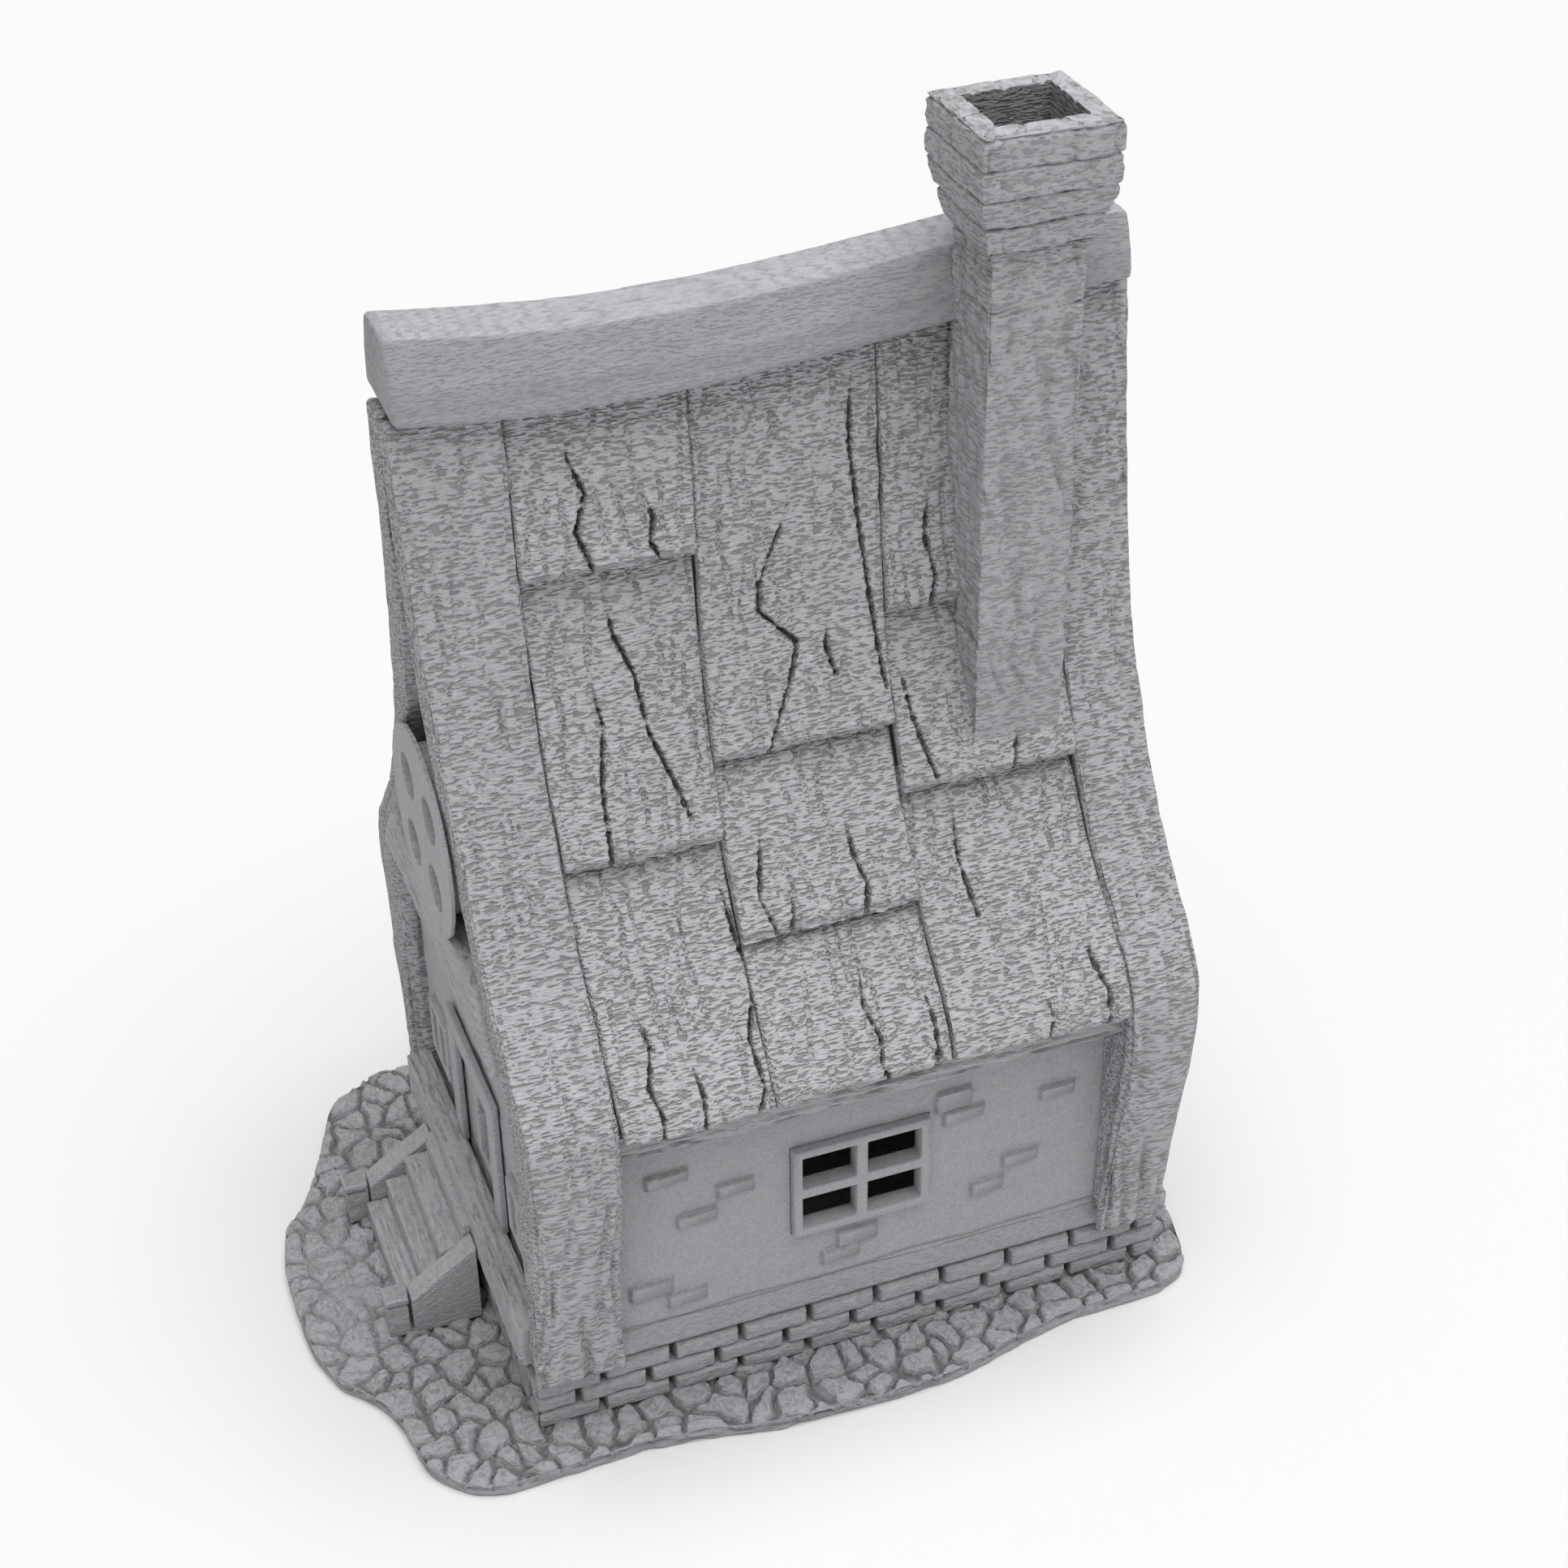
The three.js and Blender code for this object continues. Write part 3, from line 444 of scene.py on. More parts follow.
def sweep(gone, centre, across, over, half_a, half_b, corner, end, step, relief):
    """A closed bar: a rounded rectangle carried along a path, drawn in at its ends, cut along its normal."""
    side_a, side_b, around = square_ring(np.max(half_a), np.max(half_b), step)
    ones = np.ones(len(gone))
    to_end = np.minimum(gone, gone[-1] - gone)
    short = np.clip(end - to_end, 0, end)
    inset = end - np.sqrt(np.maximum(end ** 2 - short ** 2, 0))
    half_a = (half_a * ones - inset)[:, None]
    half_b = (half_b * ones - inset)[:, None]
    radius = np.minimum((corner * ones)[:, None], 0.98 * np.minimum(half_a, half_b))
    a, b = half_a * side_a, half_b * side_b
    core_a = np.clip(a, radius - half_a, half_a - radius)
    core_b = np.clip(b, radius - half_b, half_b - radius)
    out_a, out_b = a - core_a, b - core_b
    size = np.maximum(np.hypot(out_a, out_b), 1e-9)
    depth = relief(gone[:, None] + 0 * around, around + 0 * gone[:, None])
    push = radius - depth
    a, b = core_a + out_a / size * push, core_b + out_b / size * push
    rings = centre[:, None] + across[:, None] * a[..., None] + over[:, None] * b[..., None]
    # The fourth number is painted shade where the relief is cut deeper than usual.
    typical = np.median(depth)
    return np.dstack([rings, np.clip((depth - typical) / (3 * typical + 0.5), 0, 1)])


def bar(low, high, axis, corner, relief, step=0.45, end=0.4):
    """A straight timber that fills a box from low to high, with its length along one axis."""
    low, high = np.array(low, float), np.array(high, float)
    first, second = [other for other in range(3) if other != axis]
    gone = stations(high[axis] - low[axis], step, end)
    centre = np.tile((low + high) / 2, (len(gone), 1))
    centre[:, axis] = low[axis] + gone
    unit = np.eye(3)
    across = np.tile(unit[first], (len(gone), 1))
    over = np.tile(unit[second], (len(gone), 1))
    half = (high - low) / 2
    return sweep(gone, centre, across, over, half[first], half[second], corner, end, step, relief)


def lip_relief(along, around):
    return 0.05 + 0.04 * clouds(along / 2, around / 2, 27)


for name, (x0, x1), (y0, y1), axis in (
        ("right", (PLINTH_INSIDE, PLINTH_INSIDE + LIP_THICK), (-LIP_FAR, LIP_FAR), 1),
        ("left", (-PLINTH_INSIDE - LIP_THICK, -PLINTH_INSIDE), (-LIP_FAR, LIP_FAR), 1),
        ("front", (-PLINTH_INSIDE - 1, PLINTH_INSIDE + 1), (-LIP_FAR, -LIP_NEAR), 0),
        ("back", (-PLINTH_INSIDE - 1, PLINTH_INSIDE + 1), (LIP_NEAR, LIP_FAR), 0)):
    fence = bar((x0, y0, LIP_FOOT), (x1, y1, LIP_TOP), axis, 0.2, lip_relief, step=1.2)
    make_piece(f"locating_lip_{name}", *loft(fence), STONE, "stone_plastic", "base", [f"plinth_{name}"])


# ---------------------------------------------------------------------------------------------
# The steps: four solid treads between two sloping strings, each with a square newel at its foot.
# All are printed as cut timber, with grain running along each piece.

STEP_LEFT = -17.4
STEP_RIGHT = 5.2
STRING_WIDE = 3.8
STEP_RISE = 3.8
STEP_FRONTS = [-62.9, -59.5, -56.2, -52.6]
STEP_FOOT = 2.9
NEWEL_FRONT = -66.0
NEWEL_TOP = 10.8
NEWEL_GROOVE = 6.3
BEAM_FACE = 51.3
TIMBER = printed("printed_timber", (0.47, 0.465, 0.485), dash=0.25, grit=0.1, stretch=(0.9, 0.9, 2.8))
CRUCK = printed("printed_cruck", (0.495, 0.49, 0.51), dash=0.9, grit=0.08, stretch=(2.3, 0.5, 2.3))


def grain(along, across, pitch, depth, seed, knots=()):
    """Depth of carved grain: lines one pitch apart that wander along the timber and bend round each knot."""
    flow = across / pitch + 0.9 * clouds(along / 20, across / 8, seed)
    flow = flow + 0.4 * clouds(along / 6, across / 3, seed + 1)
    for knot_along, knot_across, size in knots:
        far = ((along - knot_along) / (2.1 * size)) ** 2 + ((across - knot_across) / size) ** 2
        flow = flow + 2.6 * np.exp(-far)
    valley = (0.5 + 0.5 * np.cos(2 * math.pi * flow)) ** 4
    strength = 0.55 + 0.6 * clouds(along / 9, across / 3, seed + 2)
    return depth * (valley * strength + 0.25 + 0.25 * clouds(along / 3, across / 1.2, seed + 3))


def fine_grain(seed, depth, pitch):
    return lambda along, around: grain(along, around, pitch, depth, seed)


def string_rings(x0, seed):
    """A sloping string: rings along Y whose top rises in a straight line to the sill beam."""
    front, back = -61.9, -BEAM_FACE - 0.1
    gone = stations(back - front, 0.4, 0.3)
    top = 10.0 + (17.3 - 10.0) * gone / gone[-1]
    centre_x = np.full(len(gone), x0 + STRING_WIDE / 2)
    centre = np.column_stack([centre_x, front + gone, (top + STEP_FOOT) / 2])
    across = np.tile([1.0, 0, 0], (len(gone), 1))
    over = np.tile([0, 0, 1.0], (len(gone), 1))
    half_high = (top - STEP_FOOT) / 2
    relief = fine_grain(seed, 0.14, 1.3)
    return sweep(gone, centre, across, over, STRING_WIDE / 2, half_high, 0.3, 0.2, 0.4, relief)


def newel_relief(seed):
    """Depth on a newel: a groove round it, a little thinner below the groove, and slightly rough."""
    def relief(along, around):
        groove = 0.45 * np.exp(-(((along - NEWEL_GROOVE) / 0.3) ** 2))
        return 0.1 + groove + 0.25 * (along < NEWEL_GROOVE) + 0.12 * clouds(along / 1.5, around / 1.5, seed)

    return relief


for side_name, x0, seed in (("left", STEP_LEFT - STRING_WIDE, 31), ("right", STEP_RIGHT, 32)):
    make_piece(f"step_string_{side_name}", *loft(string_rings(x0, seed)), TIMBER, "timber_plastic", "base",
               [f"stair_string_{side_name}"])
    low = (x0, NEWEL_FRONT, STEP_FOOT)
    high = (x0 + STRING_WIDE, NEWEL_FRONT + STRING_WIDE, NEWEL_TOP)
    post = bar(low, high, 2, 0.35, newel_relief(seed + 2), step=0.3)
    make_piece(f"step_newel_{side_name}", *loft(post), TIMBER, "timber_plastic", "base",
               [f"stair_newel_{side_name}"])

for index, front in enumerate(STEP_FRONTS):
    back = (STEP_FRONTS + [-BEAM_FACE - 0.1])[index + 1]
    low = (STEP_LEFT + 0.1, front, STEP_FOOT)
    high = (STEP_RIGHT - 0.1, back + 0.4, BASE_TOP + STEP_RISE * (index + 1))
    tread = bar(low, high, 0, 0.3, fine_grain(41 + index, 0.22, 1.15), step=0.3)
    make_piece(f"step_tread_{index + 1}", *loft(tread), TIMBER, "timber_plastic", "base",
               [f"stair_tread_{index + 1}"])


# ---------------------------------------------------------------------------------------------
# The crucks: four bent timbers that are post and rafter in one. They swell at the eave, thin out
# towards the ridge, and end in worn feet over the top course of bricks.

CRUCK_FACE = 50.3
CRUCK_FRONT_DEPTH = 13.8
CRUCK_BACK_DEPTH = 12.1
CRUCK_DEEP = 7.0
POST_INNER = 31.6
ROOF_LINE = np.array([
    (36.2, 5), (37.7, 20), (40, 35), (42.2, 49), (42, 59), (39.4, 66), (27.1, 80), (18.3, 95),
    (12.5, 110), (9.2, 125), (6.9, 140), (5, 155),
])


def roof_spline(count=1200):
    """The roof's outside as a smooth run: a cubic through its points, sloped by their neighbours."""
    before = 2 * ROOF_LINE[:1] - ROOF_LINE[1:2]
    after = 2 * ROOF_LINE[-1:] - ROOF_LINE[-2:-1]
    padded = np.concatenate([before, ROOF_LINE, after])
    place = np.linspace(0, len(ROOF_LINE) - 1 - 1e-9, count)
    whole = place.astype(int)
    t = (place - whole)[:, None]
    p0, p1, p2, p3 = (padded[whole + shift] for shift in range(4))
    square = (2 * p0 - 5 * p1 + 4 * p2 - p3) * t ** 2
    cube = (3 * p1 - p0 - 3 * p2 + p3) * t ** 3
    return 0.5 * (2 * p1 + (p2 - p0) * t + square + cube)


ROOF_CURVE = roof_spline()
ROOF_NORMAL = np.gradient(ROOF_CURVE, axis=0)[:, ::-1] * [1, -1]
ROOF_NORMAL /= np.linalg.norm(ROOF_NORMAL, axis=1)[:, None]


def roof_at(z):
    """Half width and outward normal of the roof line at each height."""
    x = np.interp(z, ROOF_CURVE[:, 1], ROOF_CURVE[:, 0])
    normal = np.stack([np.interp(z, ROOF_CURVE[:, 1], ROOF_NORMAL[:, axis]) for axis in (0, 1)], -1)
    return x, normal / np.linalg.norm(normal, axis=-1)[..., None]


def cruck_rings(side, end, top, seed):
    """Rings from foot to ridge, square to the roof line, with the grain's valleys cut along the timber."""
    z = np.linspace(13.6, top, 430)
    x, normal = roof_at(z)
    deep = np.maximum(CRUCK_DEEP, (x - POST_INNER) / normal[:, 0])
    deep = np.where(z < 18.5, (x - PLINTH_X - 0.35) / normal[:, 0], deep)
    deep = np.minimum(deep, (x - 0.2) / normal[:, 0])
    outer = np.column_stack([side * x, np.zeros(len(z)), z])
    across = np.column_stack([side * normal[:, 0], np.zeros(len(z)), normal[:, 1]])
    depth = CRUCK_FRONT_DEPTH if end < 0 else CRUCK_BACK_DEPTH
    centre = outer - across * (deep / 2)[:, None]
    lean = 1.3 * np.clip((z - 95) / 50, 0, 1) if end < 0 else -0.5
    depth = depth + lean
    centre[:, 1] = end * (CRUCK_FACE + lean - depth / 2)
    gone = np.concatenate([[0], np.cumsum(np.linalg.norm(np.diff(outer, axis=0), axis=1))])
    over = np.tile([0, 1.0, 0], (len(z), 1))
    low = np.clip((70 - z) / 20, 0, 1)
    corner = 0.9 + 2.2 * low
    knots = [(44 + seed % 5, 22, 3.4), (92, 8 + seed % 7, 2.2), (20, 19, 2.6)]

    def relief(along, around):
        post = np.clip((52 - along) / 18, 0, 1)
        wave = around / 3.1 + 0.8 * clouds(along / 22, around / 7, seed)
        ridges = (0.5 + 0.5 * np.cos(2 * math.pi * wave)) ** 2
        fading = np.clip(0.5 + 0.9 * clouds(along / 11, around / 3, seed + 2), 0.1, 1)
        coarse = grain(along, around, 2.4, 0.42, seed, knots) * (1 - 0.5 * post)
        waves = 0.2 + 0.2 * clouds(along / 9, around / 16, seed + 7)
        return coarse + 0.6 * post * ridges * fading + 0.22 * (1 - post) * ridges + waves * (0.5 + 0.5 * post)

    return sweep(gone, centre, across, over, deep / 2, depth / 2, corner, 0.9, 0.48, relief)


for end_name, end, top in (("front", -1, 152.6), ("back", 1, 156.0)):
    for side_name, side in (("left", -1), ("right", 1)):
        rings = cruck_rings(side, end, top, 50 + 3 * side + 7 * end)
        make_piece(f"cruck_{end_name}_{side_name}_carved", *loft(rings), CRUCK, "timber_plastic", "house",
                   [f"cruck_{end_name}_{side_name}"])


# ---------------------------------------------------------------------------------------------
# The cross timbers: a sill beam on the plinth and a tie beam under the round window, at each end.
# Heavy squared logs with coarse grain and knots on their upper faces.

GABLE_FACE = 46.8


def bay_half(z):
    """Half width between a pair of crucks at a height."""
    line_z = np.linspace(60, 150, 400)
    x, normal = roof_at(line_z)
    inside = np.maximum(x - CRUCK_DEEP * normal[:, 0], 0.15)
    return np.minimum(np.interp(z, line_z - CRUCK_DEEP * normal[:, 1], inside), POST_INNER)


def cross_timber(low, high, knots, seed, taper=0.0):
    """A log along X; a taper narrows its upper edge to follow the crucks."""
    def relief(along, around):
        return grain(along, around, 1.5, 0.5, seed, knots)

    rings = bar(low, high, 0, 0.8, relief, step=0.4, end=0.7)
    share = (rings[..., 2] - low[2]) / (high[2] - low[2])
    rings[..., 0] *= 1 - taper * share
    return loft(rings)


for end_name, end in (("front", -1), ("back", 1)):
    y0, y1 = sorted((end * 47.1, end * (BEAM_FACE + 0.1)))
    half = POST_INNER + 0.6
    knots = [(14, 3, 1.6), (28, 5, 1.9), (45, 2.5, 1.7), (20, 14, 1.6), (37, 16, 1.8), (52, 15, 1.5)]
    make_piece(f"sill_log_{end_name}", *cross_timber((-half, y0, 14.5), (half, y1, 22.8), knots, 61 + end),
               TIMBER, "timber_plastic", "house", [f"sill_beam_{end_name}"])
    low_half, high_half = float(bay_half(67.5)) + 1.2, float(bay_half(77.5)) + 1.2
    make_piece(f"tie_log_{end_name}",
               *cross_timber((-low_half, y0, 67.3), (low_half, y1 - 0.2 * (end > 0), 77.6), knots, 64 + end,
                             1 - high_half / low_half),
               TIMBER, "timber_plastic", "house", [f"tie_beam_{end_name}"])


# ---------------------------------------------------------------------------------------------
# The gables: plastered panels let in between the crucks, with a round window above the tie beam.
# The front one has the door and a small two-light window on each side of it.

WALL = printed("printed_plaster", (0.44, 0.435, 0.455), dash=0.08, grit=0.16, stretch=(1.2, 1.2, 2.0))
GABLE_THICK = 2.4
GABLE_LOW = 20.0
GABLE_HIGH = 152.5
SMALL_WINDOW = (16.6, 27.0, 27.4, 38.0)
DOOR_HALF = 9.6
DOOR_TOP = 44.0
DOOR_SILL = 22.8
ROUND_Z = 88.4
ROUND_HOLE = 10.9


def grid_lines(low, high, step, extra=()):
    """Even lines from low to high, with extra lines put in and those closest to them left out."""
    lines = np.arange(low, high, step)
    for value in extra:
        lines = lines[np.abs(lines - value) > 0.6 * step]
    return np.unique(np.concatenate([lines, [high], [value for value in extra if low < value < high]]))


def gable_plate(end, seed):
    """A panel as wide as the bay at each height, with no cells in the window, door and round holes."""
    x0, x1, z0, z1 = SMALL_WINDOW
    sides = (-x1, -x0, -DOOR_HALF, DOOR_HALF, x0, x1)
    share = grid_lines(-1, 1, 0.02, [value / POST_INNER for value in sides])
    up = grid_lines(GABLE_LOW, GABLE_HIGH, 0.65, [DOOR_SILL, z0, z1, DOOR_TOP])
    u, z = np.meshgrid(share, up)
    x = u * (bay_half(z) + 0.8 * (z > 50))
    boards = 0.22 * np.exp(-(((np.mod(x + 1.0, 6.1) - 3.05) / 0.25) ** 2))
    cut = 0.15 + 0.13 * clouds(x / 2.2, z / 2.2, seed) + 0.05 * clouds(x / 0.7, z / 0.7, seed + 1) + boards
    outer = np.dstack([x, end * (GABLE_FACE - cut), z])
    inner = np.dstack([x, np.full(x.shape, end * (GABLE_FACE - GABLE_THICK)), z])
    middle_x, middle_z = (x[:-1, :-1] + x[1:, 1:]) / 2, (z[:-1, :-1] + z[1:, 1:]) / 2
    holes = np.hypot(middle_x, middle_z - ROUND_Z) < ROUND_HOLE
    if end < 0:
        holes |= (np.abs(middle_x) > x0) & (np.abs(middle_x) < x1) & (middle_z > z0) & (middle_z < z1)
        holes |= (np.abs(middle_x) < DOOR_HALF) & (middle_z > DOOR_SILL) & (middle_z < DOOR_TOP)
    return plate(outer, inner, ~holes)


def softened(node, width, material, body):
    """A copy of a node with its doubles merged, flat faces joined and its edges eased by a small bevel."""
    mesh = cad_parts[node].data.copy()
    mesh.name = node + "_eased"
    work = bmesh.new()
    work.from_mesh(mesh)
    bmesh.ops.remove_doubles(work, verts=work.verts, dist=0.005 * MM)
    bmesh.ops.dissolve_limit(work, angle_limit=math.radians(1), verts=work.verts, edges=work.edges)
    work.to_mesh(mesh)
    work.free()
    mesh.materials.clear()
    mesh.materials.append(material)
    mesh.polygons.foreach_set("use_smooth", np.ones(len(mesh.polygons), bool))
    piece = bpy.data.objects.new(node + "_eased", mesh)
    bpy.context.collection.objects.link(piece)
    easing = piece.modifiers.new("eased_edges", "BEVEL")
    easing.width = width * MM
    easing.segments = 2
    easing.angle_limit = math.radians(40)
    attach(piece, body)
    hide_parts(node)
    return piece


for end_name, end in (("front", -1), ("back", 1)):
    make_piece(f"gable_panel_{end_name}", *gable_plate(end, 71 + end), WALL, "wall_plastic", "house",
               [f"gable_{end_name}"])
    softened(f"round_window_{end_name}", 0.2, TIMBER, "house")

for node in ("small_window_left", "small_window_right", "door_frame", "door_leaf", "door_pull"):
    softened(node, 0.22, TIMBER, "house")


# ---------------------------------------------------------------------------------------------
# The side walls: plaster over brick, with a few bricks showing where it has come away, and a
# window of four panes in a square frame.

WALL_FACE = 33.8
WALL_TOP = 54.8
RAIL_LOW = 54.4
RAIL_HIGH = 59.6
BAY_FRONT = CRUCK_FRONT_DEPTH - CRUCK_FACE + 0.3
BAY_BACK = CRUCK_FACE - CRUCK_BACK_DEPTH - 0.3
WINDOW = (-10.4, 11.1, 28.2, 45.0)
WALL_BRICKS = [
    (11.9, 44.5, 5.6, 3.8), (13.2, 41.8, 6.4, 2.5), (28.4, 41.6, 5.6, 2.5), (22.9, 30.3, 5.8, 2.5),
    (17.9, 26.2, 5.2, 2.8), (-3.2, 23.4, 6.3, 3.0), (-5.6, 20.9, 6.0, 2.4), (-31.9, 44.4, 6.2, 2.3),
    (-21.4, 39.4, 5.5, 2.6), (-27.5, 35.7, 6.0, 2.3), (-34.9, 23.5, 6.4, 3.0), (-29.3, 20.6, 5.8, 2.6),
]


def wall_plate(turn, seed, step):
    """A grid along the wall and up: each stray brick rises off the plaster, less at its far lower corner."""
    y0, y1, z0, z1 = WINDOW
    along = grid_lines(BAY_FRONT - 1.6, BAY_BACK + 1.6, step, [y0, y1])
    up = grid_lines(PLINTH_TOP + 0.1, WALL_TOP + 0.6, step, [z0, z1])
    y, z = np.meshgrid(along, up)
    rise = np.zeros(y.shape)
    for left, low, long, high in WALL_BRICKS:
        inside = np.minimum(np.minimum(y - left, left + long - y), np.minimum(z - low, low + high - z))
        inside = inside + 0.12 * clouds(y / 0.8, z / 0.8, seed + 5)
        face = np.clip(inside / 0.45 + 0.5, 0, 1)
        fade = 0.35 + 0.65 * np.clip(0.75 + 0.5 * (z - low) / high - 0.45 * (y - left) / long, 0, 1)
        rise = np.maximum(rise, face * face * (3 - 2 * face) * fade)
    plaster = 0.1 * clouds(y / 2.5, z / 2.5, seed) + 0.07 * clouds(y / 0.8, z / 0.8, seed + 1)
    skirt = 0.35 * np.exp(-(((z - PLINTH_TOP - 0.5 - 0.5 * clouds(y / 9, 0 * z, seed + 2)) / 0.35) ** 2))
    # Painted shade round the edges of the stray bricks and in the skirt groove over the plinth.
    edge_and_skirt_shade = np.clip(4 * rise * (1 - rise), 0, 1) * 0.5 + 1.2 * skirt
    face_x = WALL_FACE - 0.1 + 0.85 * rise + plaster * (1 - rise) - skirt
    outer = np.dstack([turn * face_x, y, z, edge_and_skirt_shade])
    inner = np.dstack([np.full(y.shape, turn * (WALL_FACE - 2.4)), y, z])
    middle_y, middle_z = (y[:-1, :-1] + y[1:, 1:]) / 2, (z[:-1, :-1] + z[1:, 1:]) / 2
    hole = (middle_y > y0) & (middle_y < y1) & (middle_z > z0) & (middle_z < z1)
    return plate(outer, inner, ~hole)


def rail_relief(along, around):
    return grain(along, around, 1.3, 0.6, 85)


for side_name, turn, step in (("right", 1, 0.3), ("left", -1, 0.45)):
    make_piece(f"plaster_wall_{side_name}", *wall_plate(turn, 81 + turn, step), WALL, "wall_plastic", "house",
               [f"wall_{side_name}"])
    softened(f"side_window_{side_name}", 0.3, WALL, "house")
    low, high = (POST_INNER, BAY_FRONT - 1.2, RAIL_LOW), (38.2, BAY_BACK + 1.2, RAIL_HIGH)
    rail = bar(low, high, 1, 0.5, rail_relief)
    rail[..., 0] *= turn
    make_piece(f"eave_rail_{side_name}", *loft(rail), TIMBER, "timber_plastic", "house",
               [f"eave_plate_{side_name}"])


# ---------------------------------------------------------------------------------------------
# The roof: nine wide, split boards a side in three columns, each lapping the one below, over a
# plain deck. The boards are carved with grain and long cracks, and ragged at their lower ends.

BOARD = printed("printed_board", (0.525, 0.52, 0.54), dash=1.0, grit=0.08)
BOARD_THICK = 1.8
BOARD_LOW = -0.9
BOARD_HIGH = 2.3
BOARD_LAP = 3.0
INTO_RIDGE = 157.0
BOARDS = {
    "front_upper": (0, 148, 129, [
        [(.33, 1), (.3, .82), (.37, .55), (.3, .3), (.37, 0)],
        [(.66, .55), (.7, .3), (.67, .15), (.72, 0)],
    ]),
    "front_middle": (0, 129, 91, [
        [(.42, .9), (.45, .75), (.53, .6), (.56, .4), (.66, .2), (.7, .1)],
        [(.3, .6), (.33, .45), (.27, .25), (.25, 0)],
        [(.86, .42), (.93, .3), (.9, .2)],
    ]),
    "front_lower": (0, 91, 60.4, [
        [(.8, .85), (.83, .6), (.86, .48), (.76, .3), (.78, .12), (.72, 0)],
        [(.2, .5), (.24, .35), (.18, .22), (.22, .1), (.2, 0)],
        [(.42, .3), (.45, .15), (.43, 0)],
    ]),
    "centre_upper": (1, 149, 100.4, [
        [(.5, .68), (.43, .58), (.32, .46), (.31, .38), (.5, .28), (.46, .2), (.38, .1), (.3, 0)],
        [(.86, 1), (.84, .8), (.88, .55), (.93, .3), (.97, .1)],
        [(.68, .35), (.66, .25), (.7, .17)],
    ]),
    "centre_middle": (1, 100.4, 79, [
        [(.2, .6), (.17, .4), (.13, .2), (.19, 0)],
        [(.66, .55), (.68, .3), (.72, .15), (.69, 0)],
        [(.28, .25), (.3, .12), (.27, 0)],
    ]),
    "centre_lower": (1, 79, 60.8, [
        [(.6, .75), (.57, .5), (.62, .3), (.6, .12), (.64, 0)],
        [(.9, .6), (.93, .3), (.91, 0)],
    ]),
    "back_upper": (2, 148.5, 115.2, [
        [(.25, .5), (.22, .3), (.27, .12), (.24, 0)],
        [(.42, .2), (.46, .1), (.44, 0)],
    ]),
    "back_middle": (2, 115.2, 91.6, [
        [(.06, .7), (.1, .4), (.15, .2), (.2, 0)],
        [(.66, .5), (.61, .33), (.67, .18), (.63, 0)],
    ]),
    "back_lower": (2, 91.6, 60.6, [
        [(.28, .9), (.26, .7), (.3, .5)],
        [(.9, .4), (.86, .28), (.92, .15), (.9, 0)],
        [(.55, .2), (.58, .1), (.54, 0)],
    ]),
}


def column_edge(edge, z):
    """Place of a board column's edge: the two inner seams lean forward as they come down."""
    lean = 3.3 * (150 - z) / 90
    return (BAY_FRONT - 0.5 + 0 * z, -12 - lean, 14.2 - lean, BAY_BACK + 0.5 + 0 * z)[edge]


def crack_depth(across, along, path, seed):
    """Depth of a crack: a narrow cut round a jagged line, widest at its foot and closed at its head."""
    path = np.array(path, float)
    depth = np.zeros(across.shape)
    shown = np.clip(0.75 + 0.6 * clouds(along / 2.2, across / 9, seed + 2), 0.3, 1.2)
    for start, stop in zip(path[:-1], path[1:]):
        leg = stop - start
        length = leg @ leg
        place = np.clip(((across - start[0]) * leg[0] + (along - start[1]) * leg[1]) / length, 0, 1)
        off_x = across - start[0] - place * leg[0]
        off_y = along - start[1] - place * leg[1]
        height = start[1] + place * leg[1]
        head = np.clip((path[:, 1].max() - height) / 6, 0.25, 1)
        off = np.hypot(off_x, off_y) + 0.2 * clouds(along / 0.7, across / 3, seed)
        off = np.abs(off + 0.12 * clouds(along / 0.3, across, seed + 1))
        depth = np.maximum(depth, 1.5 * head * np.exp(-((off / (0.1 + 0.17 * head * shown)) ** 2)))
    return depth


def roof_board(side, column, upper, lower, cracks, seed, across_count, row_step):
    """A board on the roof line: depth grows to its upper end, edges rounded, grain and cracks cut in."""
    top = upper + BOARD_LAP if upper < 140 else INTO_RIDGE
    rows = int((top - lower) * 1.35 / row_step)
    u, v = np.meshgrid(np.linspace(0, 1, across_count), np.linspace(0, 1, rows))
    ragged = 0.3 * clouds(u * 5, 0 * u, seed) + 0.16 * clouds(u * 23, 0 * u, seed + 1)
    z = lower + ragged * (1 - v) + (top - lower) * v
    left, right = column_edge(column, z) + 0.12, column_edge(column + 1, z) - 0.12
    wander = 0.22 * clouds(z / 6, 0 * z, seed + 2)
    y = left + wander + (right - left) * u
    x, normal = roof_at(z)
    across, along = (y - left), (z - lower) * 1.25
    edge = np.minimum(across, right - y)
    rounding = 0.6 - np.sqrt(np.maximum(0.36 - np.clip(0.6 - edge, 0, 0.6) ** 2, 0))
    lip = 1.1 * np.clip(1 - along / 1.25, 0, 1) ** 1.3
    cut = 0.8 * rounding + lip + grain(along, across, 2.6, 0.5, seed + 3)
    wide, tall = 26.0, (upper + BOARD_LAP - lower) * 1.25
    split = np.zeros(cut.shape)
    for number, path in enumerate(cracks):
        in_place = [((1 - a if side < 0 else a) * wide, b * (tall - BOARD_LAP * 1.25)) for a, b in path]
        split = np.maximum(split, crack_depth(across, along, in_place, seed + 4 + number))
    # Painted shade in the cracks and where the grain and rounded edges cut deeper.
    sunk = split / 1.1 + 0.6 * np.clip(cut - lip - 0.3, 0, 1)
    cut = np.maximum(cut, split)
    warp = 0.35 * clouds(across / 9, along / 14, seed + 9)
    lift = BOARD_LOW + (BOARD_HIGH - BOARD_LOW) * v

    def skin(depth, painted_shade):
        out_x = np.maximum(x - depth * normal[..., 0], 0.15)
        return np.dstack([side * out_x, y, z - depth * normal[..., 1], painted_shade])

    return plate(skin(lift + cut + warp * (1 - v), sunk), skin(lift + BOARD_THICK + 0.35, 0 * x))


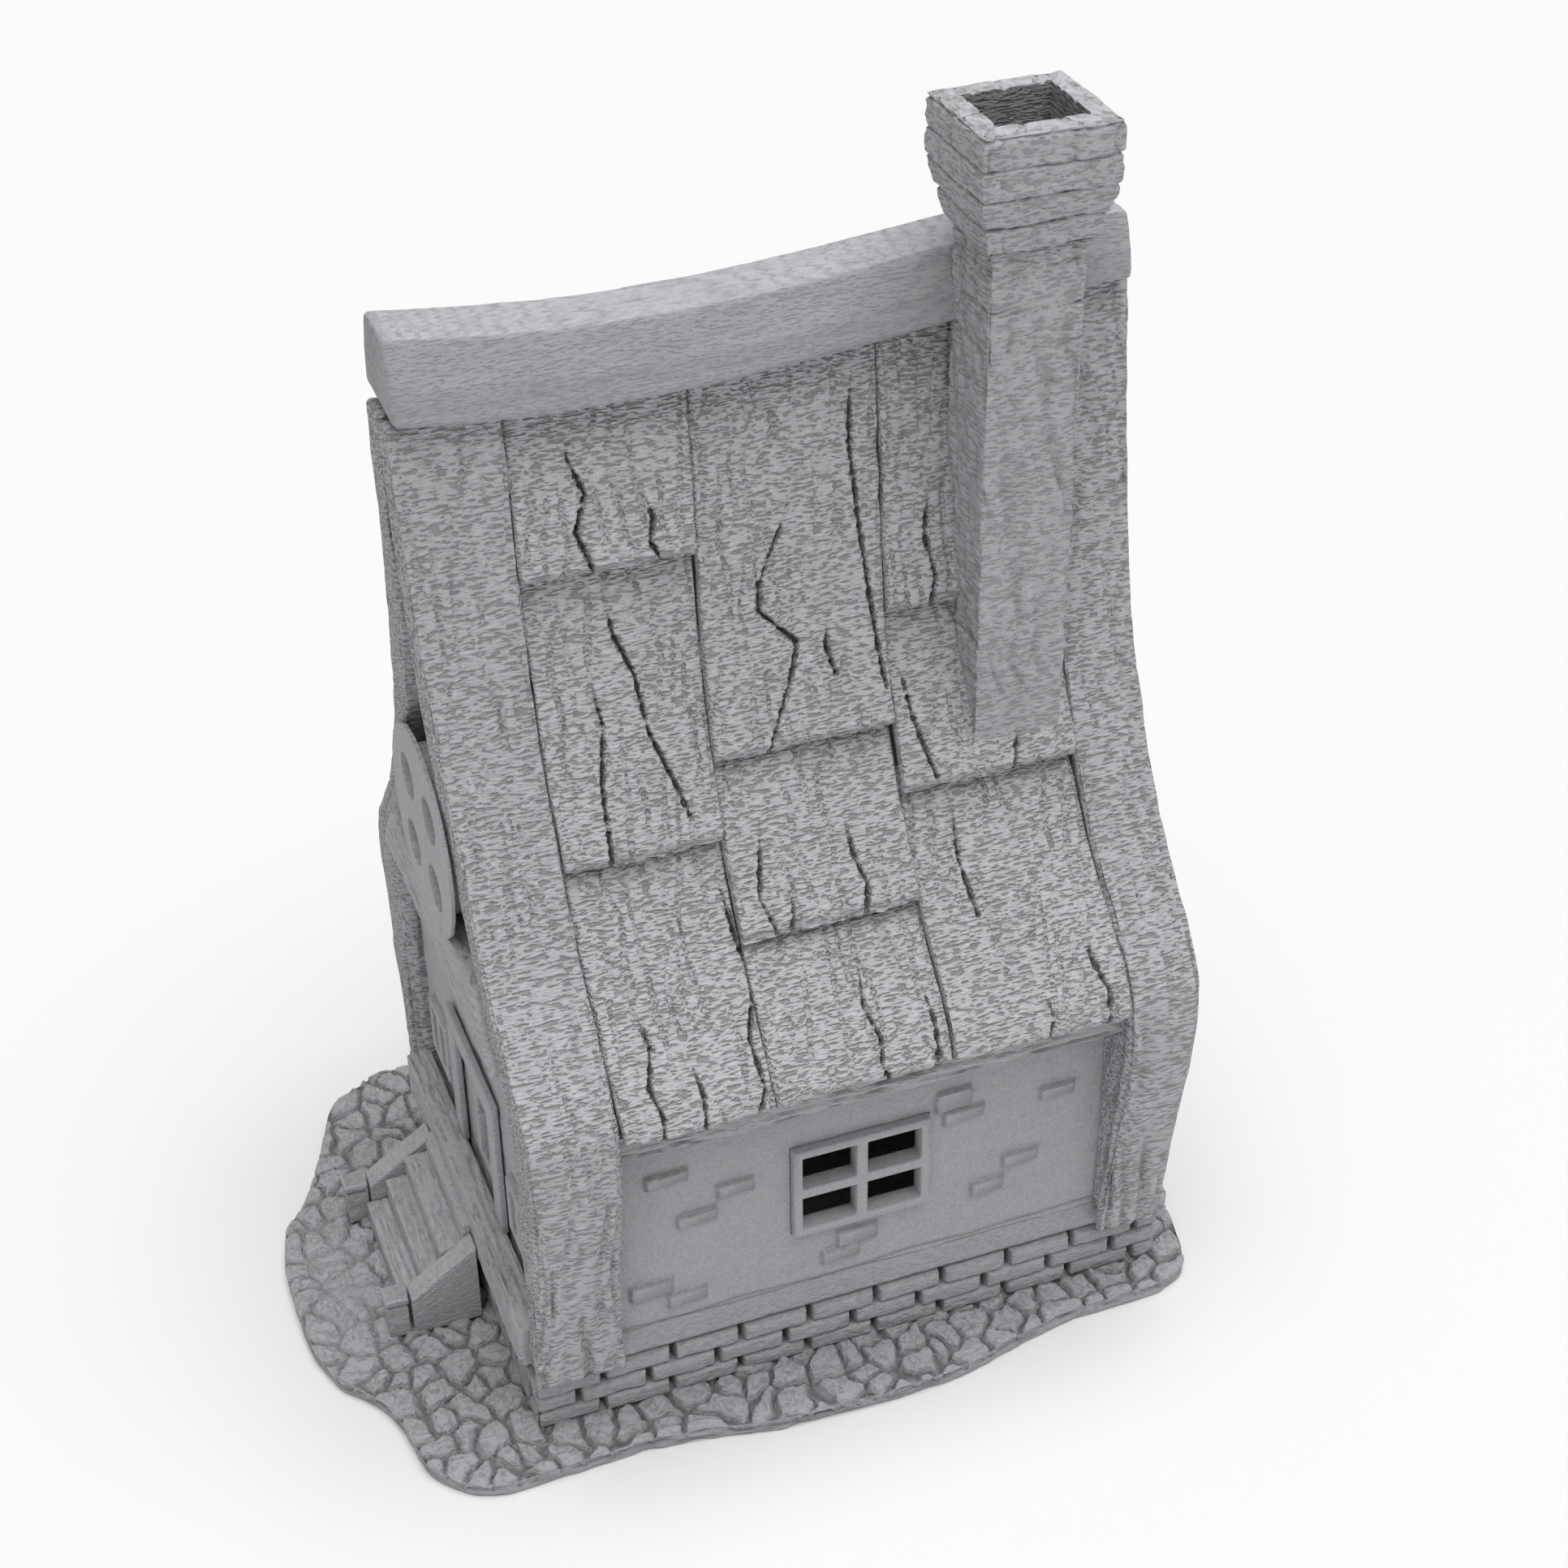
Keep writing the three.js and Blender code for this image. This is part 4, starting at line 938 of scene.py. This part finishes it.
for side_name, side, across_count, row_step in (("right", 1, 132, 0.34), ("left", -1, 96, 0.45)):
    for number, (board_name, (column, upper, lower, cracks)) in enumerate(BOARDS.items()):
        seed = 100 + 13 * number + (200 if side < 0 else 0)
        board = roof_board(side, column, upper, lower, cracks, seed, across_count, row_step)
        make_piece(f"board_{side_name}_{board_name}", *board, BOARD, "board_plastic", "house",
                   [f"shingle_{side_name}_{board_name}"], sharp=70)
    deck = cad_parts[f"roof_deck_{side_name}"]
    for slot_index in range(len(deck.material_slots)):
        deck.material_slots[slot_index].material = WALL


# ---------------------------------------------------------------------------------------------
# The ridge beam: one heavy timber along the top, sagging in the middle and rounded at its ends.
# Its upper face shows the print's layers as fine terraces.

BEAM_LINE = np.array([
    (-50.7, 153.3, 164.5), (-36, 151.9, 162.9), (-20, 151.6, 161.7), (0, 152.3, 162.3),
    (20, 154.4, 164.3), (36, 155.7, 165.1), (48.8, 156.4, 165.2),
])
# The ridge's darker tone is painted shade for its steep sides, and crown lightens its top as a painted top
# light.
RIDGE = printed("printed_ridge", (0.405, 0.4, 0.42), dash=0.3, grit=0.08, stretch=(0.7, 0.7, 3.0), crown=0.3)


def ridge_rings():
    """Rings along Y between the beam's foot and crown lines, narrowing upwards, with a stepped top."""
    gone = stations(BEAM_LINE[-1, 0] - BEAM_LINE[0, 0], 0.4, 1.0)
    y = gone + BEAM_LINE[0, 0]
    ease = [np.polyfit(BEAM_LINE[:, 0], BEAM_LINE[:, column], 4) for column in (1, 2)]
    foot, crown = np.polyval(ease[0], y), np.polyval(ease[1], y)
    centre = np.column_stack([np.zeros(len(y)), y, (foot + crown) / 2])
    across = np.tile([1.0, 0, 0], (len(y), 1))
    over = np.tile([0, 0, 1.0], (len(y), 1))
    half = (crown - foot) / 2

    def relief(along, around):
        dents = 0.12 + 0.1 * clouds(along / 9, around / 5, 91) + 0.05 * clouds(along / 2.4, around / 1.5, 92)
        return dents + grain(along, around, 2.4, 0.12, 93)

    rings = sweep(gone, centre, across, over, 7.5, half, 0.8, 0.8, 0.4, relief)
    share = np.clip((rings[..., 2] - foot[:, None]) / (crown - foot)[:, None], 0, 1)
    rings[..., 0] *= np.interp(share, [0, 0.45, 1], [1, 0.91, 0.62])
    return rings


make_piece("ridge_timber", *loft(ridge_rings()), RIDGE, "timber_plastic", "house", ["ridge_beam"])


# ---------------------------------------------------------------------------------------------
# The chimney: a square stack of worn stone standing through the roof boards beside the ridge,
# under a flared cap of four courses with an open flue.

STACK = (5.7, 18.3, 23.0, 36.7)
CAP_OUT = 2.6
CAP_TOP = 185.0
CAP_LOW = 168.6
CAP_FLARE = 176.4
FLUE_FLOOR = 171.2
FLUE_IN = -0.7
# The crown setting lightens the stack's upward faces as a painted top light.
STACKED = printed("printed_stack", (0.475, 0.47, 0.49), dash=0.6, grit=0.1, stretch=(0.7, 0.7, 2.6),
                  crown=0.2)


def laid_stone(along, up, course, block, round_way, seed):
    """Depth of joints between laid stones: level beds and staggered uprights, each wandering a little."""
    bed_place = up / course + 0.06 * clouds(along / 5, up / 5, seed)
    row = np.floor(bed_place)
    to_bed = np.minimum(bed_place - row, row + 1 - bed_place) * course
    count = max(1, round(round_way / block))
    place = along / round_way * count + dice(row, 0 * row, seed + 1)
    place = place + 0.07 * clouds(up / 1.5, along / 9, seed + 2)
    stone = np.floor(place)
    to_joint = np.minimum(place - stone, stone + 1 - place) * round_way / count
    shown = 0.55 + 0.45 * clouds(along / 6, up / 7, seed + 3)
    beds = 0.42 * np.exp(-((to_bed / 0.22) ** 2))
    uprights = 0.42 * shown * np.exp(-((to_joint / 0.26) ** 2))
    tilt = 0.12 * dice(np.mod(stone, count), row, seed + 4)
    rock = 0.16 * clouds(along / 1.5, up / 1.1, seed + 5) + 0.1 * clouds(along / 0.7, up / 0.5, seed + 6)
    return np.maximum(beds, uprights) + tilt + rock


def stack_rings():
    """The stack from inside the roof to under the cap; joints fade in and out up its length."""
    x0, x1, y0, y1 = STACK
    round_way = 2 * (x1 - x0 + y1 - y0)

    def relief(along, around):
        beds = laid_stone(around, along, 5.4, 6.5, round_way, 95)
        shown = np.clip(0.5 + 1.1 * clouds(around / 8, along / 10, 96), 0.12, 1)
        slant = grain(along, around + 0.2 * along, 4.2, 0.55, 97)
        return 0.1 + beds * shown + slant + 0.12 * clouds(along / 0.9, around / 1.6, 94)

    return bar((x0, y0, 90.0), (x1, y1, 171.0), 2, 0.7, relief, step=0.36)


def cap_rings():
    """Rings up the flared outside, in over the rim, and down the flue to its floor."""
    x0, x1, y0, y1 = STACK
    middle = np.array([(x0 + x1) / 2, (y0 + y1) / 2])
    half_x, half_y = (x1 - x0) / 2, (y1 - y0) / 2
    up = np.arange(CAP_LOW, CAP_TOP + 0.01, 0.22)
    out = np.interp(up, [CAP_LOW, CAP_FLARE, CAP_TOP], [0.5, CAP_OUT, CAP_OUT])
    levels = np.column_stack([up, out])
    rim_out = np.linspace(CAP_OUT, FLUE_IN, 14)[1:]
    rim = np.column_stack([np.full(len(rim_out), CAP_TOP), rim_out])
    down = np.column_stack([np.linspace(CAP_TOP, FLUE_FLOOR, 30)[1:], np.full(29, FLUE_IN)])
    levels = np.concatenate([levels, rim, down])
    side_a, side_b, around = square_ring(half_x + CAP_OUT, half_y + CAP_OUT, 0.3)
    z, out = levels[:, :1], levels[:, 1:]
    round_way = around[-1] + around[1]
    number = np.arange(len(levels))[:, None]
    outside = number < len(up)
    on_rim = (number >= len(up)) & (number < len(up) + len(rim))
    cut = laid_stone(around + 0 * z, z - CAP_LOW + 0 * around, 3.92, 5.6, round_way, 98)
    near_top = np.clip((z - CAP_TOP + 0.9) / 0.9, 0, 1) ** 2 * 0.5
    in_flue = 0.1 * clouds(around / 2 + 0 * z, z / 2, 99)
    cut = np.where(outside, cut + near_top, np.where(on_rim, near_top * (out > 2.0), in_flue))
    stone = around / round_way * 11
    joint = np.mod(stone + 0.35 * dice(np.floor(stone), 0 * around, 90), 1)
    groove = 0.3 * np.exp(-((np.minimum(joint, 1 - joint) * 6 / 0.45) ** 2)) + 0.14
    groove = groove + 0.14 * clouds(around / 2.2 + 0 * z, out / 1.6 + 0 * z, 89)
    lowered = 0.25 * np.clip((z - CAP_TOP + 0.5) / 0.5, 0, 1)
    sink = np.where(on_rim, groove, np.where(outside, lowered, 0.0))
    far_a, far_b = half_x + out - cut, half_y + out - cut
    a = np.clip((half_x + out) * side_a, -far_a, far_a)
    b = np.clip((half_y + out) * side_b, -far_b, far_b)
    # Painted shade in the stone joints, in the rim's grooves and down the flue.
    joint_gap_shade = np.clip((cut - 0.34) / 0.3, 0, 1) * (near_top < 0.05)
    painted_shade = np.where(outside, joint_gap_shade, np.where(on_rim, 0.9 * groove - 0.3, 0.4))
    return np.dstack([middle[0] + a, middle[1] + b, z - sink + 0 * a, painted_shade])


make_piece("chimney_stack", *loft(stack_rings()), STACKED, "stone_plastic", "house", ["chimney_shaft"])
make_piece("chimney_crown", *loft(cap_rings()), STACKED, "stone_plastic", "house", ["chimney_cap"])


# ---------------------------------------------------------------------------------------------
# The studio: a pale floor, a broad soft key from almost overhead, a weak fill from the long side's
# front and a pale sky. The camera looks down on the long side from the front.

def studio():
    """Floor, lights and camera; places are in millimetres."""
    mesh = bpy.data.meshes.new("floor")
    far = 3000 * MM
    mesh.from_pydata([(-far, -far, 0), (far, -far, 0), (far, far, 0), (-far, far, 0)], [], [(0, 1, 2, 3)])
    floor = bpy.data.objects.new("floor", mesh)
    bpy.context.collection.objects.link(floor)
    paper = bpy.data.materials.new("floor_paper")
    paper.use_nodes = True
    paper.node_tree.nodes["Principled BSDF"].inputs["Base Color"].default_value = (0.93, 0.93, 0.94, 1)
    paper.node_tree.nodes["Principled BSDF"].inputs["Roughness"].default_value = 0.9
    mesh.materials.append(paper)
    floor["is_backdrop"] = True
    world = bpy.data.worlds.new("pale_sky")
    world.use_nodes = True
    world.node_tree.nodes["Background"].inputs["Color"].default_value = (1.0, 1.0, 1.0, 1)
    world.node_tree.nodes["Background"].inputs["Strength"].default_value = 0.17
    bpy.context.scene.world = world
    lamps = (("key", (160, 60, 1000), 62, 2.75), ("fill", (900, -500, 400), 60, 0.13))
    for name, place, angle, power in lamps:
        light = bpy.data.lights.new(name, "SUN")
        light.angle = math.radians(angle)
        light.energy = power
        lamp = bpy.data.objects.new(name, light)
        lamp.location = Vector(place) * MM
        lamp.rotation_euler = lamp.location.to_track_quat("Z", "Y").to_euler()
        bpy.context.collection.objects.link(lamp)


def camera():
    """Looks from azimuth 69.8 and elevation 35.3 degrees, rolled by a little, at about 415 mm."""
    azimuth, elevation, roll = math.radians(69.76), math.radians(35.28), math.radians(-0.69)
    level = math.cos(elevation)
    back = Vector((math.sin(azimuth) * level, -math.cos(azimuth) * level, math.sin(elevation)))
    right = Vector((math.cos(azimuth), math.sin(azimuth), 0))
    up = back.cross(right)
    rolled_right = math.cos(roll) * right + math.sin(roll) * up
    rolled_up = -math.sin(roll) * right + math.cos(roll) * up
    lens = bpy.data.cameras.new("camera")
    lens.lens = 62.81
    lens.sensor_width = 36.0
    lens.clip_start, lens.clip_end = 0.01, 20
    view = bpy.data.objects.new("camera", lens)
    target = Vector((-16.61, 8.02, 70.15))
    turn = Matrix((rolled_right, rolled_up, back)).transposed().to_4x4()
    view.matrix_world = Matrix.Translation((target + 415.06 * back) * MM) @ turn
    bpy.context.collection.objects.link(view)
    bpy.context.scene.camera = view


studio()
camera()
bpy.context.scene.view_settings.view_transform = "Standard"

low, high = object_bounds()
